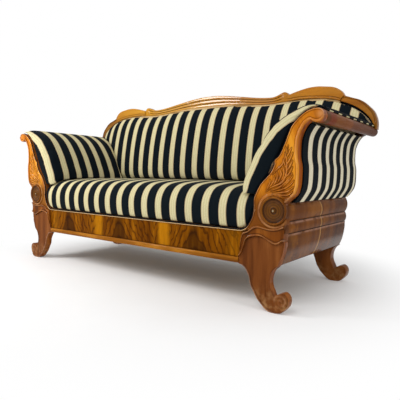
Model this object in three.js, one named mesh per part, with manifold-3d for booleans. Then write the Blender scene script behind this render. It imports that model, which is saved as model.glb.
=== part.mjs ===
// A walnut scroll-arm settee of the 1830s in striped cloth, with a full back, two outswept arms,
// a shaped crest and four S-shaped legs. Millimetres, +Z up, the front faces -Y, and the origin
// is on the floor under the middle. Local y is 0 at the front face of the end boards.
import * as THREE from "three";
import { mergeVertices } from "three/addons/utils/BufferGeometryUtils.js";
import Module from "manifold-3d";

const wasm = await Module();
wasm.setup();

// Clearances
const gap = 0.3; // between wooden pieces that touch
const soft_gap = 0.8; // between upholstery and what it lies against
const canvas_gap = 1.6; // between the arm's stuffing and the canvas under it
const arm_edge_gap = 3.2; // between the arm's stuffing and the line of the facing
const overrun = 10; // how far a cutter runs past the piece that it cuts

// Apron, the veneered board under the seat front
const apron_half_length = 700; // middle to end, along the top edge
const apron_end_splay = 20; // the ends lean in by this much at the foot
const floor_clearance = 178; // floor to the underside of the bead
const bead_height = 24;
const bead_thickness = 38;
const bead_proud = 5; // the bead's belly in front of the end boards
const apron_height = 118;
const apron_thickness = 34;
const apron_setback = 4;

// End boards: leg, arch moulding and arm facing, all sawn from one thickness of plank
const board_thickness = 38;
const block_width = 205; // apron foot to the side of the body
const leg_drop = 16; // the leg's top, below the top of the bombe panel
const rear_leg_lead = 18; // front face of the rear legs, ahead of the posts'
const arch_proud = 5; // the arch moulding stands this far in front of the leg
const arch_rise = 51; // the arch moulding's height above the leg, at the side
const facing_sink = 2; // the facing's lowest point, below the apron's top edge

// Arm roll, the turned rail that ends the arm
const roll_overhang = 118; // the roll's axis, out from the side of the body
const roll_rise = 449; // the facing's lowest point to the roll's axis
const roll_radius = 25;
const scroll_lip = 1; // the facing's scroll is larger than the roll by this much

// Rosette on the facing
const rosette_inset = 46; // its centre, in from the side of the body
const rosette_height = 88; // its centre, above the facing's foot
const rosette_ring_radius = 57;
const rosette_disc_radius = 48;
const rosette_proud = 11;
const rosette_dish = 6; // the disc's face lies this far below the ring's crown
const rosette_button_radius = 6;
const rosette_button_ground = 12; // radius of the flat round the button
const rosette_turning = 2; // depth of the disc's turned steps
const ring_round_share = 0.3; // of the ring's width, each side of its crown
const disc_rim_share = 0.82; // where the disc's rim ends
const button_crown_share = 0.7;

// Side of the body: ovolo, torus and bombe panel, running from front to rear
const side_lap = 16; // the mouldings' rear ends, behind the posts' front
const side_back = 39; // inner face, in from the side of the body
const bombe_foot_share = 0.6288; // of the leg's height, the panel's lower edge
const bombe_drop = 5; // the panel's top, below the apron's top edge
const torus_height = 48;
const torus_bulge = 7;
const ovolo_height = 76;
const ovolo_bulge = 13;
const bulge_start_share = 0.25; // of a bulge, how far its edges lie inside the side of the body

// Seat frame
const rail_thickness = 30;
const side_rail_thickness = 33;
const cross_rail_thickness = 34;
const cross_rail_height = 60;
const corner_block_leg = 62;
const seat_frame_drop = 4; // the rails' top, below the apron's top edge

// Arm frame
const arm_rail_height = 40;
const arm_rail_gap = 4.1; // between the arm rail and the foot of the stuffed line
const canvas_thickness = 3;
const cover_thickness = 10;
const cover_inset = 3; // the outer cover lies this far inside the facing's edge

// Back frame
const back_front = 684; // front face of the rear posts and the back rails
const back_thickness = 34;
const back_rail_height = 58;
const back_rail_rise = 0.4; // the lower rail's foot, above the top of the arm rails
const back_top_rail_height = 40;
const back_slat_width = 60;
const back_slat_place = 330; // middle to a slat's axis
const back_cover_depth = 16; // the rear cloth, in from the posts' front
const back_cover_thickness = 3;
const post_foot_width = 100;
const post_inset = 9; // the posts' outer edge, inside the line of the facings

// Crest
const crest_lead = 4; // the crest's front face, ahead of the posts'
const crest_thickness = 36;
const shoulder_overhang = 28; // the shoulder's outermost point, out from the roll's axis
const shoulder_sink = 0.5; // the shoulder's lowest point, below the top of the roll
const crest_rise = 248.5; // shoulder's lowest point to the top of the crest
const reed_count = 3;
const reed_depth = 7;
const shell_proud = 5; // the shells stand this far in front of the crest
const reed_valley = 2; // depth of a reed's flat crown behind the crest's front
const reed_flat_shares = [0.25, 0.75]; // where a reed's crown starts and ends
const knob_start_share = 0.8; // of the reeded stretch, where its knob starts
const shortest_facet = 2.5; // along the crest

// Upholstery
const seat_end_gap = 8; // between the seat and the arm rails, where the canvas lies
const seat_height = 192; // from its foot to the crown
const seat_rear_inset = 38; // the seat's rear, ahead of the posts' front
const seat_end_drop = 14; // the crown falls this much towards the arms
const seat_corner_radius = 68; // where the seat front turns up at its ends
const seat_corner_rise_share = 0.552; // of the seat's height
const seat_crown_power = 4; // how flat the crown stays before it falls
const seat_edge_power = 8; // how late the front draws in
const back_pad_thickness = 112;
const back_pad_edge = 6; // thickness at its edges
const back_end_power = 7; // how late the back thins towards its ends
const arm_pad_thickness = 115;
const arm_pad_roundness = 52; // radius of its front edge
const arm_pad_front = 1;
const arm_pad_rise = 146; // its lowest corner, at the front, above the apron's top edge
const arm_back_gap = 3; // between the arm's stuffing and the back's

// Seat interior
const webbing_thickness = 3;
const webbing_width = 50;
const webbing_rows = 3;
const webbing_columns = 9;
const front_lap_share = 1 / 3; // of the front rail, left free by webbing and hessian
const rear_lap_share = 1 / 2; // of the rear rail, covered by them
const hessian_thickness = 2;
const spring_rows = 2;
const springs_per_row = 6;
const spring_pitch = 250;
const spring_row_pitch = 250;
const spring_radius = 52;
const spring_waist = 34;
const spring_wire_radius = 2.4;
const spring_turns = 3;
const twine_thickness = 4;
const gimp_height = 9;
const gimp_thickness = 3;

// Worked out from the sizes above
const bead_top = floor_clearance + bead_height;
const seat_line = bead_top + apron_height; // the apron's top edge
const bombe_top = seat_line - bombe_drop;
const leg_height = bombe_top - leg_drop;
const bombe_foot = bombe_foot_share * leg_height;
const facing_foot = seat_line - facing_sink;
const roll_height = facing_foot + roll_rise; // floor to the roll's axis
const seat_frame_foot = bead_top;
const frame_top = seat_line - seat_frame_drop;
const arm_pad_foot = seat_line + arm_pad_rise;
const crest_foot = roll_height + roll_radius - shoulder_sink;
const block_start = apron_half_length - apron_end_splay;
const side_x = block_start + block_width; // the side of the body
const side_back_x = side_x - side_back;
const roll_half_span = side_x + roll_overhang; // middle to the roll's axis
const crest_half_span = roll_half_span + shoulder_overhang;
const back_pad_half_length = roll_half_span;
const scroll_radius = roll_radius + scroll_lip;
const facing_top = roll_height + scroll_radius;
const facing_height = facing_top - facing_foot;
const facing_reach = roll_half_span + scroll_radius - block_start;
const side_length = back_front + side_lap - board_thickness; // along y, behind the end boards
const rear_leg_front = back_front - rear_leg_lead;
const crest_front = back_front - crest_lead;
const seat_rear = back_front - seat_rear_inset;
const seat_corner_rise = seat_corner_rise_share * seat_height; // of the seat front's turned-up ends
const body_front = board_thickness + gap; // behind the end boards
const body_rear = back_front - gap; // in front of the posts
const rear_face = Math.max(back_front + back_thickness, crest_front + crest_thickness);
const torus_foot = bombe_top + gap;
const torus_top = torus_foot + torus_height;
const ovolo_foot = torus_top + gap;
const ovolo_top = ovolo_foot + ovolo_height;
const back_rail_foot = ovolo_top + back_rail_rise;
const seat_foot = seat_line + gap;
const pad_rear = crest_front - canvas_thickness - gap - soft_gap;

// Finishes
const finish = (colour, roughness) =>
  new THREE.MeshStandardMaterial({ color: colour, roughness, metalness: 0 });
const walnut_dark = finish(0x6b3a1c, 0.28);
const walnut_gold = finish(0xb4702a, 0.25);
const walnut_crest = finish(0xc08238, 0.25);
const pine = finish(0xc9a36b, 0.7);
const stripe_cloth = finish(0xbfb283, 0.9);
const navy_cloth = finish(0x1a2230, 0.9);
const jute = finish(0x9c8258, 0.95);
const spring_steel = new THREE.MeshStandardMaterial({ color: 0x8a6a4a, roughness: 0.4, metalness: 0.9 });

// Helpers

// Points of a table of shares, measured from (x0, z0) in the given width and height.
function placed(shares, x0, z0, width, height) {
  return shares.map(([u, v]) => new THREE.Vector2(x0 + u * width, z0 + v * height));
}

// A smooth line through points, with a few steps for each stretch.
function smooth(points, steps_per_stretch) {
  return new THREE.SplineCurve(points).getPoints((points.length - 1) * steps_per_stretch);
}

// The signed volume of an indexed or plain geometry; negative when its faces point inwards.
function signed_volume(geometry) {
  const flat = geometry.index ? geometry.toNonIndexed() : geometry;
  const p = flat.getAttribute("position");
  const a = new THREE.Vector3();
  const b = new THREE.Vector3();
  const c = new THREE.Vector3();
  let six_volumes = 0;
  for (let i = 0; i < p.count; i += 3) {
    a.fromBufferAttribute(p, i);
    b.fromBufferAttribute(p, i + 1);
    c.fromBufferAttribute(p, i + 2);
    six_volumes += a.dot(b.cross(c));
  }
  return six_volumes;
}

// The same body with its vertices merged and its faces pointing out.
function closed_body(geometry) {
  const bare = geometry.clone();
  bare.deleteAttribute("normal");
  bare.deleteAttribute("uv");
  const merged = mergeVertices(bare);
  if (signed_volume(merged) < 0) {
    const index = merged.index.array;
    for (let i = 0; i < index.length; i += 3) {
      [index[i + 1], index[i + 2]] = [index[i + 2], index[i + 1]];
    }
  }
  merged.computeVertexNormals();
  return merged;
}

// A board with its outline in the XZ plane, from y = front to y = front + thickness.
function board(outline, front, thickness) {
  const flat = new THREE.ExtrudeGeometry(new THREE.Shape(outline), { depth: thickness, bevelEnabled: false });
  flat.rotateX(Math.PI / 2);
  flat.translate(0, front + thickness, 0);
  return closed_body(flat);
}

// A moulding with its section in the YZ plane, from x = -half_length to x = half_length.
function moulding(section, half_length) {
  const settings = { depth: 2 * half_length, bevelEnabled: false };
  const flat = new THREE.ExtrudeGeometry(new THREE.Shape(section), settings);
  const turn = new THREE.Matrix4().makeBasis(
    new THREE.Vector3(0, 1, 0),
    new THREE.Vector3(0, 0, 1),
    new THREE.Vector3(1, 0, 0),
  );
  flat.applyMatrix4(turn);
  flat.translate(-half_length, 0, 0);
  return closed_body(flat);
}

// A sawn block between two corners.
function block(x0, x1, y0, y1, z0, z1) {
  const box = new THREE.BoxGeometry(x1 - x0, y1 - y0, z1 - z0);
  box.translate((x0 + x1) / 2, (y0 + y1) / 2, (z0 + z1) / 2);
  return closed_body(box);
}

// Triangles that fill a ring, seen along the axis that it faces most, turning the ring's own way.
function cap_triangles(ring) {
  const facing = new THREE.Vector3();
  ring.forEach((p, i) => facing.add(p.clone().cross(ring[(i + 1) % ring.length])));
  const size = (axis) => Math.abs(facing[axis]);
  let flat = (p) => new THREE.Vector2(p.x, p.y);
  if (size("x") > size("y") && size("x") > size("z")) flat = (p) => new THREE.Vector2(p.y, p.z);
  else if (size("y") > size("z")) flat = (p) => new THREE.Vector2(p.z, p.x);
  const outline = ring.map(flat);
  const same_way = (a, b, c) => {
    const turn = outline[b].clone().sub(outline[a]).cross(outline[c].clone().sub(outline[a]));
    return Math.sign(turn) === Math.sign(THREE.ShapeUtils.area(outline)) ? [a, b, c] : [a, c, b];
  };
  return THREE.ShapeUtils.triangulateShape(outline, []).map(([a, b, c]) => same_way(a, b, c));
}

// A closed body through a row of rings with equal counts of points, capped at both ends.
function loft(rings) {
  const count = rings[0].length;
  const positions = rings.flat().flatMap((p) => [p.x, p.y, p.z]);
  const faces = [];
  for (let r = 0; r + 1 < rings.length; r += 1) {
    for (let i = 0; i < count; i += 1) {
      const j = (i + 1) % count;
      const a = r * count;
      const b = a + count;
      // Each quad is split along its shorter diagonal, so that mirrored shapes get mirrored faces.
      const straight = rings[r][i].distanceTo(rings[r + 1][j]);
      const crossed = rings[r][j].distanceTo(rings[r + 1][i]);
      if (straight < crossed) faces.push(a + i, a + j, b + j, a + i, b + j, b + i);
      else faces.push(a + i, a + j, b + i, a + j, b + j, b + i);
    }
  }
  const last = (rings.length - 1) * count;
  for (const [p, q, t] of cap_triangles(rings[0])) faces.push(p, t, q);
  for (const [p, q, t] of cap_triangles(rings[rings.length - 1])) faces.push(last + p, last + q, last + t);
  const geometry = new THREE.BufferGeometry();
  geometry.setAttribute("position", new THREE.Float32BufferAttribute(positions, 3));
  geometry.setIndex(faces);
  return closed_body(geometry);
}

// A body turned about an axis along Y, from pairs of radius and depth.
function turned(profile, steps, x, z) {
  const lathe = new THREE.LatheGeometry(profile.map(([r, y]) => new THREE.Vector2(r, y)), steps);
  lathe.translate(x, 0, z);
  return closed_body(lathe);
}

function to_manifold(geometry) {
  return new wasm.Manifold(
    new wasm.Mesh({
      numProp: 3,
      vertProperties: geometry.getAttribute("position").array,
      triVerts: new Uint32Array(geometry.index.array),
    }),
  );
}

function from_manifold(solid) {
  const mesh = solid.getMesh();
  const geometry = new THREE.BufferGeometry();
  geometry.setAttribute("position", new THREE.Float32BufferAttribute(mesh.vertProperties, 3));
  geometry.setIndex(new THREE.Uint32BufferAttribute(mesh.triVerts, 1));
  return closed_body(geometry);
}

const cut = (body, tool) => from_manifold(to_manifold(body).subtract(to_manifold(tool)));
const joined = (bodies) => from_manifold(bodies.map(to_manifold).reduce((sum, body) => sum.add(body)));

// The value of a table of pairs at a place, by straight lines between the pairs.
function along(pairs, place) {
  const last = pairs.length - 1;
  if (place <= pairs[0][0]) return pairs[0][1];
  if (place >= pairs[last][0]) return pairs[last][1];
  const i = pairs.findIndex(([at]) => at > place);
  const [x0, y0] = pairs[i - 1];
  const [x1, y1] = pairs[i];
  return y0 + ((y1 - y0) * (place - x0)) / (x1 - x0);
}

// A line moved sideways, to its left as it runs for a positive distance.
function offset_line(points, distance) {
  return points.map((p, i) => {
    const before = points[Math.max(i - 1, 0)];
    const after = points[Math.min(i + 1, points.length - 1)];
    const run = after.clone().sub(before).normalize();
    const d = typeof distance === "function" ? distance(i / (points.length - 1)) : distance;
    return new THREE.Vector2(p.x - run.y * d, p.y + run.x * d);
  });
}

const sofa = new THREE.Group();
sofa.name = "scroll_arm_settee";

function add(parent, name, geometry, material) {
  const mesh = new THREE.Mesh(geometry, material);
  mesh.name = name;
  parent.add(mesh);
  return mesh;
}

// Steps of a smooth line for each stretch between two points of its table
const outline_steps = 2;
const post_steps = 1;
const crest_steps = 3;

// Outlines of the end boards, as shares of the block's width and the leg's height

// Inner edge of the leg, from the apron down to the sole.
const leg_inner_shares = [
  [0, 0.592], [0.08, 0.569], [0.14, 0.548], [0.21, 0.488], [0.26, 0.411], [0.285, 0.321],
  [0.322, 0.281], [0.38, 0.214], [0.449, 0.14], [0.522, 0.09], [0.615, 0.033], [0.712, 0],
];
// Under and round the foot's scroll to the notch above it.
const leg_scroll_shares = [
  [0.839, 0], [0.955, 0.013], [1.038, 0.064], [1.091, 0.11], [1.116, 0.154], [1.116, 0.197],
  [1.106, 0.234], [1.062, 0.268], [0.999, 0.285], [0.92, 0.268], [0.862, 0.238], [0.818, 0.215],
];
// Up the outside of the leg to the side of the body.
const leg_outer_shares = [
  [0.818, 0.215], [0.769, 0.271], [0.745, 0.311], [0.72, 0.348], [0.706, 0.388], [0.711, 0.428],
  [0.72, 0.472], [0.74, 0.515], [0.794, 0.582], [0.872, 0.629], [0.93, 0.722], [0.974, 0.819],
  [0.994, 0.9], [0.99, 0.963],
];
// The arched top of the leg, from the side back to the apron.
const leg_top_shares = [
  [0.99, 0.963], [0.946, 0.946], [0.883, 0.916], [0.81, 0.91], [0.737, 0.93], [0.629, 0.967],
  [0.537, 0.993], [0.444, 1], [0.312, 0.983], [0.22, 0.96], [0.161, 0.91], [0.127, 0.836],
  [0.073, 0.739], [0, 0.68],
];

function leg_line(shares) {
  return smooth(placed(shares, block_start + gap, 0, block_width, leg_height), outline_steps);
}

function leg_outline() {
  return [
    ...leg_line(leg_inner_shares),
    ...leg_line(leg_scroll_shares).slice(0, -1),
    ...leg_line(leg_outer_shares).slice(0, -1),
    ...leg_line(leg_top_shares),
  ];
}

// The rear leg carries the post and stands inside the side panels, so it steps in above their foot.
function rear_leg_outline() {
  const step_z = bombe_foot - gap;
  const outer_line = leg_line(leg_outer_shares);
  const step_x = along(outer_line.map((p) => [p.y, p.x]), step_z);
  return [
    ...leg_line(leg_inner_shares),
    ...leg_line(leg_scroll_shares).slice(0, -1),
    ...outer_line.filter((p) => p.y < step_z - gap),
    new THREE.Vector2(step_x, step_z),
    new THREE.Vector2(side_back_x - gap, step_z),
    new THREE.Vector2(side_back_x - gap, leg_height),
    new THREE.Vector2(block_start + gap, leg_height),
  ];
}

// Upper edge of the arch moulding, as shares of the block's width and the arch's rise
const arch_top_shares = [
  [0.13, 0.24], [0.224, 0.39], [0.273, 0.57], [0.346, 0.765], [0.439, 0.84], [0.532, 0.8],
  [0.659, 0.725], [0.785, 0.725], [0.888, 0.8], [1, 1],
];

function arch_top_line() {
  return smooth(placed(arch_top_shares, block_start, leg_height, block_width, arch_rise), outline_steps);
}

// The arch moulding follows the leg's top, the apron's end and the facing's foot.
function arch_outline() {
  const low = offset_line(leg_line(leg_top_shares), -2 * gap);
  const end_slope = apron_end_splay / apron_height;
  const apron_end = (z) => block_start + (z - bead_top) * end_slope + 2 * gap;
  const foot_x = apron_end(low[low.length - 1].y);
  const foot_z = along(low.map((p) => [p.x, p.y]).reverse(), foot_x);
  const shoulder_z = arch_top_line()[0].y;
  return [
    ...low.filter((p) => p.x > foot_x + gap),
    new THREE.Vector2(foot_x, foot_z),
    new THREE.Vector2(apron_end(shoulder_z), shoulder_z),
    ...arch_top_line().slice(1),
  ];
}

// Arm facing, as shares of its reach and height

// Inner edge, from the seat's corner up to the crown of the scroll.
const facing_inner_shares = [
  [0.086, 0.02], [0.132, 0.052], [0.169, 0.104], [0.189, 0.146], [0.198, 0.211], [0.196, 0.268],
  [0.212, 0.31], [0.238, 0.344], [0.269, 0.392], [0.316, 0.432], [0.398, 0.494], [0.433, 0.532],
  [0.448, 0.563], [0.45, 0.6], [0.49, 0.627], [0.522, 0.658], [0.556, 0.707], [0.579, 0.753],
  [0.599, 0.797], [0.625, 0.842], [0.659, 0.886], [0.702, 0.92], [0.754, 0.954], [0.811, 0.981],
];
// Outer edge, from under the scroll down to the top of the side mouldings.
const facing_outer_shares = [
  [0.859, 0.913], [0.825, 0.902], [0.791, 0.877], [0.765, 0.848], [0.745, 0.82],
  [0.728, 0.791], [0.722, 0.762], [0.716, 0.67], [0.722, 0.61], [0.737, 0.561], [0.74, 0.502],
  [0.733, 0.411], [0.716, 0.348], [0.69, 0.318], [0.629, 0.264],
];
const scroll_steps = 10;
const scroll_turn = 1.22 * Math.PI; // from the crown round to the underside

function facing_line(shares, steps) {
  return smooth(placed(shares, block_start, facing_foot, facing_reach, facing_height), steps);
}

// The round end of the scroll, from its crown over the outside and back under.
function scroll_arc() {
  return Array.from({ length: scroll_steps + 1 }, (_, i) => {
    const angle = Math.PI / 2 - (scroll_turn * i) / scroll_steps;
    return new THREE.Vector2(
      roll_half_span + scroll_radius * Math.cos(angle),
      roll_height + scroll_radius * Math.sin(angle),
    );
  });
}

// The facing's edge beside the rosette, a lobe round the ring down to the arch moulding.
const rosette_x = side_x - rosette_inset;
const rosette_z = facing_foot + rosette_height;
const lobe_steps = 8;
const lobe_start = Math.PI / 7; // above level
const lobe_turn = 0.42 * Math.PI;

function rosette_lobe() {
  const lobe_radius = rosette_ring_radius + scroll_lip;
  return Array.from({ length: lobe_steps + 1 }, (_, i) => {
    const angle = lobe_start - (lobe_turn * i) / lobe_steps;
    return new THREE.Vector2(
      rosette_x + lobe_radius * Math.cos(angle),
      rosette_z + lobe_radius * Math.sin(angle),
    );
  });
}

function facing_outline() {
  const foot = arch_top_line().reverse().map((p) => new THREE.Vector2(p.x, p.y + gap));
  const tail = new THREE.Vector2(foot[foot.length - 1].x, facing_foot + gap);
  return [
    ...facing_line(facing_inner_shares, outline_steps),
    ...scroll_arc(),
    ...facing_line(facing_outer_shares, outline_steps),
    ...rosette_lobe(),
    ...foot.slice(0, -2),
    tail,
  ];
}

// Lines of the arm's upholstery

// The stuffed side of the arm, from the seat up to the roll, a little inside the facing's edge.
const arm_line_shares = [
  [0.206, 0.299], [0.264, 0.379], [0.338, 0.453], [0.398, 0.514], [0.441, 0.587], [0.49, 0.657],
  [0.542, 0.737], [0.59, 0.821], [0.653, 0.895], [0.745, 0.958], [0.831, 0.994], [0.934, 1.008],
];

const arm_rail_x = block_start + arm_line_shares[0][0] * facing_reach + arm_rail_gap;
const seat_half_length = arm_rail_x - seat_end_gap;

// The stuffing's thickness along that line, as shares of its greatest.
const arm_pad_thickness_shares = [
  [0, 0.79], [0.18, 0.93], [0.27, 1], [0.36, 0.97], [0.55, 0.87], [0.64, 0.74], [0.73, 0.53],
  [0.82, 0.36], [0.91, 0.25], [1, 0.1],
];

const arm_line_steps = 20;

function arm_line() {
  const edge = placed(arm_line_shares, block_start, facing_foot, facing_reach, facing_height);
  return offset_line(new THREE.SplineCurve(edge).getSpacedPoints(arm_line_steps), arm_edge_gap);
}

// Canvas under the stuffing: one thickness of cloth, from the arm rail up over the roll.
function arm_canvas_outline() {
  const line = arm_line();
  const rail_face = new THREE.Vector2(
    arm_rail_x - gap - canvas_thickness,
    ovolo_top - arm_rail_height,
  );
  const over_roll = new THREE.Vector2(roll_half_span, roll_height + roll_radius + gap + canvas_thickness);
  const upper = [rail_face, ...offset_line(line, -canvas_gap).slice(0, -1), over_roll];
  const lower = offset_line(upper, -canvas_thickness);
  lower[0].set(rail_face.x + canvas_thickness, rail_face.y);
  lower[lower.length - 1].set(over_roll.x, over_roll.y - canvas_thickness);
  return [...upper, ...lower.reverse()];
}

// Outer cover: the thin padded cloth between the facing, the roll and the side moulding.
const arm_cover_shares = [
  [0.82, 0.889], [0.799, 0.868], [0.761, 0.82], [0.741, 0.762], [0.734, 0.67],
  [0.739, 0.61], [0.751, 0.561], [0.754, 0.502], [0.748, 0.411], [0.728, 0.348], [0.66, 0.268],
];

function arm_cover_outline() {
  const shares = placed(arm_cover_shares, block_start, facing_foot, facing_reach, facing_height);
  const edge = smooth(shares, outline_steps);
  const outer = offset_line(edge, -2 * cover_inset);
  const inner = offset_line(outer, -cover_thickness);
  const foot = ovolo_top + gap;
  outer[outer.length - 1].y = foot;
  inner[inner.length - 1].y = foot;
  return [...outer, ...inner.reverse()];
}

// The cover narrows towards the rear as the posts do.
function arm_outer_cover() {
  const outline = arm_cover_outline();
  const front_ring = outline.map((p) => new THREE.Vector3(p.x, body_front, p.y));
  const rear_ring = outline.map((p) => new THREE.Vector3(p.x - post_inset, body_rear, p.y));
  return loft([front_ring, rear_ring]);
}

// Lines of the crest, as shares of its half span and of its height above the shoulder's foot

const crest_low_shares = [
  [0, 0.795], [0.058, 0.783], [0.16, 0.746], [0.264, 0.694], [0.35, 0.65], [0.427, 0.634],
  [0.488, 0.646], [0.546, 0.658], [0.603, 0.674], [0.687, 0.658], [0.766, 0.622], [0.818, 0.561],
  [0.867, 0.481], [0.916, 0.364], [0.954, 0.223], [0.974, 0.111], [0.987, 0],
];
const centre_top_shares = [
  [0, 1], [0.057, 0.976], [0.159, 0.92], [0.263, 0.851], [0.349, 0.799], [0.413, 0.779],
  [0.456, 0.791], [0.486, 0.823], [0.514, 0.859], [0.528, 0.847], [0.539, 0.79],
];
const shell_top_shares = [
  [0.539, 0.79], [0.569, 0.823], [0.614, 0.867], [0.657, 0.895], [0.702, 0.899], [0.743, 0.879],
  [0.78, 0.855], [0.805, 0.815], [0.826, 0.75], [0.839, 0.667],
];
const shoulder_top_shares = [
  [0.839, 0.667], [0.852, 0.65], [0.876, 0.61], [0.914, 0.553], [0.939, 0.485], [0.956, 0.416],
  [0.971, 0.352], [0.984, 0.288], [0.995, 0.167], [1, 0.046], [1, 0],
];
const shell_foot_share = 0.818; // where the shell's lower edge ends

const centre_half_length = shell_top_shares[0][0] * crest_half_span;
const crest_points = (shares) => placed(shares, 0, crest_foot, crest_half_span, crest_rise);
const crest_low_line = smooth(crest_points(crest_low_shares), crest_steps).map((p) => [p.x, p.y]);
const crest_low = (x) => along(crest_low_line, Math.abs(x));

// Between two shares of the half span, the lower edge of the crest.
function crest_low_stretch(from_share, to_share) {
  const x0 = from_share * crest_half_span;
  const x1 = to_share * crest_half_span;
  const inside = crest_low_line.filter(([x]) => x > x0 + overrun && x < x1 - overrun);
  return [[x0, crest_low(x0)], ...inside, [x1, crest_low(x1)]].map(([x, z]) => new THREE.Vector2(x, z));
}

// Lines of the seat and the back

// The seat's section: depth from its front, and share of its height, from the foot up and over.
const seat_depth = seat_rear;
const seat_section_shares = [
  [0.006, 0], [-0.006, 0.1], [-0.0145, 0.28], [-0.0145, 0.46], [-0.005, 0.6], [0.016, 0.73],
  [0.05, 0.84], [0.108, 0.915], [0.217, 0.965], [0.387, 1], [0.588, 1], [0.774, 0.98],
  [0.929, 0.965], [1, 0.955],
];
const seat_front_share = 0.6; // where the front face ends and the roundover starts
const seat_top_shares = seat_section_shares.filter(([, v]) => v >= seat_front_share);
const seat_top_pairs = seat_top_shares.map(([u, v]) => [u * seat_depth, v]);

// The seat's foot turns up in a quarter round near its ends.
function seat_foot_at(x) {
  const into = Math.max(0, Math.abs(x) - (seat_half_length - seat_corner_radius)) / seat_corner_radius;
  return seat_foot + seat_corner_rise * (1 - Math.sqrt(Math.max(0, 1 - into * into)));
}

function seat_crown_at(x) {
  const share = Math.abs(x) / seat_half_length;
  return seat_foot + seat_height - seat_end_drop * share ** seat_crown_power;
}

function seat_top(x, y) {
  const foot = seat_foot;
  return foot + (seat_crown_at(x) - foot) * along(seat_top_pairs, y);
}

// The back's section: share of its height and share of its thickness.
const back_section_shares = [
  [0, 0.82], [0.04, 0.95], [0.12, 1], [0.28, 0.97], [0.45, 0.88], [0.6, 0.76], [0.74, 0.61],
  [0.86, 0.42], [0.94, 0.24], [1, 0],
];
// Foot of the back where the arms hide it, as shares of the half length and of the arm's height.
const back_foot_shares = [[0.72, 0], [0.8, 0.36], [0.86, 0.62], [0.895, 0.84], [0.93, 0.985], [1, 1.03]];

function back_foot_at(x) {
  const on_seat = seat_top(x, seat_rear - back_pad_thickness) + soft_gap;
  const climb = along(back_foot_shares, Math.abs(x) / back_pad_half_length);
  return on_seat + climb * (facing_top - on_seat);
}

const back_top_at = (x) => crest_low(x) - soft_gap;

// Thickness of the back at a place, thinner towards its ends.
function back_thickness_at(x, z) {
  const share = Math.abs(x) / back_pad_half_length;
  const sideways = Math.sqrt(Math.max(0, 1 - share ** back_end_power));
  const foot = back_foot_at(0);
  const up = (z - foot) / (back_top_at(x) - foot);
  return back_pad_edge + (back_pad_thickness - back_pad_edge) * sideways * along(back_section_shares, up);
}

const back_face = (x, z) => pad_rear - back_thickness_at(x, z);

// Front of the seat

function apron_outline() {
  const foot = apron_half_length - apron_end_splay;
  return [
    new THREE.Vector2(-foot, bead_top + gap),
    new THREE.Vector2(foot, bead_top + gap),
    new THREE.Vector2(apron_half_length, seat_line),
    new THREE.Vector2(-apron_half_length, seat_line),
  ];
}

const bead_round_steps = 8;

// A half-round nose on a square back.
function bead_section() {
  const middle = floor_clearance + bead_height / 2;
  const nose = Array.from({ length: bead_round_steps + 1 }, (_, i) => {
    const angle = (Math.PI * i) / bead_round_steps;
    return new THREE.Vector2(
      -bead_proud * Math.sin(angle),
      middle + (bead_height / 2) * Math.cos(angle),
    );
  });
  return [
    new THREE.Vector2(bead_thickness, floor_clearance),
    new THREE.Vector2(bead_thickness, bead_top),
    ...nose,
  ];
}

add(sofa, "front_apron", board(apron_outline(), apron_setback, apron_thickness), walnut_gold);
add(sofa, "front_bead", moulding(bead_section(), block_start), walnut_dark);

// Seat frame

const side_rail_x = side_back_x - gap;
const rail_half_length = side_rail_x - side_rail_thickness - gap;
const rear_rail_front = rear_leg_front - gap - rail_thickness;

function rail(y0) {
  return block(-rail_half_length, rail_half_length, y0, y0 + rail_thickness, seat_frame_foot, frame_top);
}

add(sofa, "front_rail", rail(body_front), pine);
add(sofa, "rear_rail", rail(rear_rail_front), pine);
add(
  sofa,
  "cross_rail",
  block(
    -cross_rail_thickness / 2,
    cross_rail_thickness / 2,
    body_front + rail_thickness + gap,
    rear_rail_front - gap,
    seat_frame_foot,
    seat_frame_foot + cross_rail_height,
  ),
  pine,
);

// A three-cornered block glued in the angle of two rails.
function corner_block(corner_y, inward) {
  const x = rail_half_length - gap;
  const leg = corner_block_leg * inward;
  const outline = new THREE.Shape([
    new THREE.Vector2(x, corner_y),
    new THREE.Vector2(x, corner_y + leg),
    new THREE.Vector2(x - corner_block_leg, corner_y),
  ]);
  const height = frame_top - seat_frame_foot;
  const prism = new THREE.ExtrudeGeometry(outline, { depth: height, bevelEnabled: false });
  prism.translate(0, 0, seat_frame_foot);
  return closed_body(prism);
}

// Seat upholstery

// A flat lattice of webbing strips under the rails.
function seat_webbing() {
  const half_width = rail_half_length + side_rail_thickness / 2;
  const half_strip = webbing_width / 2;
  const front = body_front + rail_thickness * front_lap_share;
  const rear = rear_rail_front + rail_thickness * rear_lap_share;
  const top = seat_frame_foot - gap;
  const foot = top - webbing_thickness;
  // The middle of one of a row of strips that fill a span from edge to edge.
  const place = (low, high, i, count) =>
    low + half_strip + ((high - low - webbing_width) * i) / (count - 1);
  const strips = [];
  for (let i = 0; i < webbing_columns; i += 1) {
    const x = place(-half_width, half_width, i, webbing_columns);
    strips.push(block(x - half_strip, x + half_strip, front, rear, foot, top));
  }
  for (let i = 0; i < webbing_rows; i += 1) {
    const y = place(front, rear, i, webbing_rows);
    strips.push(block(-half_width, half_width, y - half_strip, y + half_strip, foot, top));
  }
  return joined(strips);
}

// An hourglass coil, as a curve about its own axis from z = 0 up.
class SpringCurve extends THREE.Curve {
  constructor(height) {
    super();
    this.height = height;
  }
  getPoint(t, target = new THREE.Vector3()) {
    const angle = 2 * Math.PI * spring_turns * t;
    const pinch = Math.sin(Math.PI * t);
    const radius = spring_radius - (spring_radius - spring_waist) * pinch;
    return target.set(radius * Math.cos(angle), radius * Math.sin(angle), this.height * t);
  }
}

const spring_steps_per_turn = 8;
const spring_sides = 5;

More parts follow.
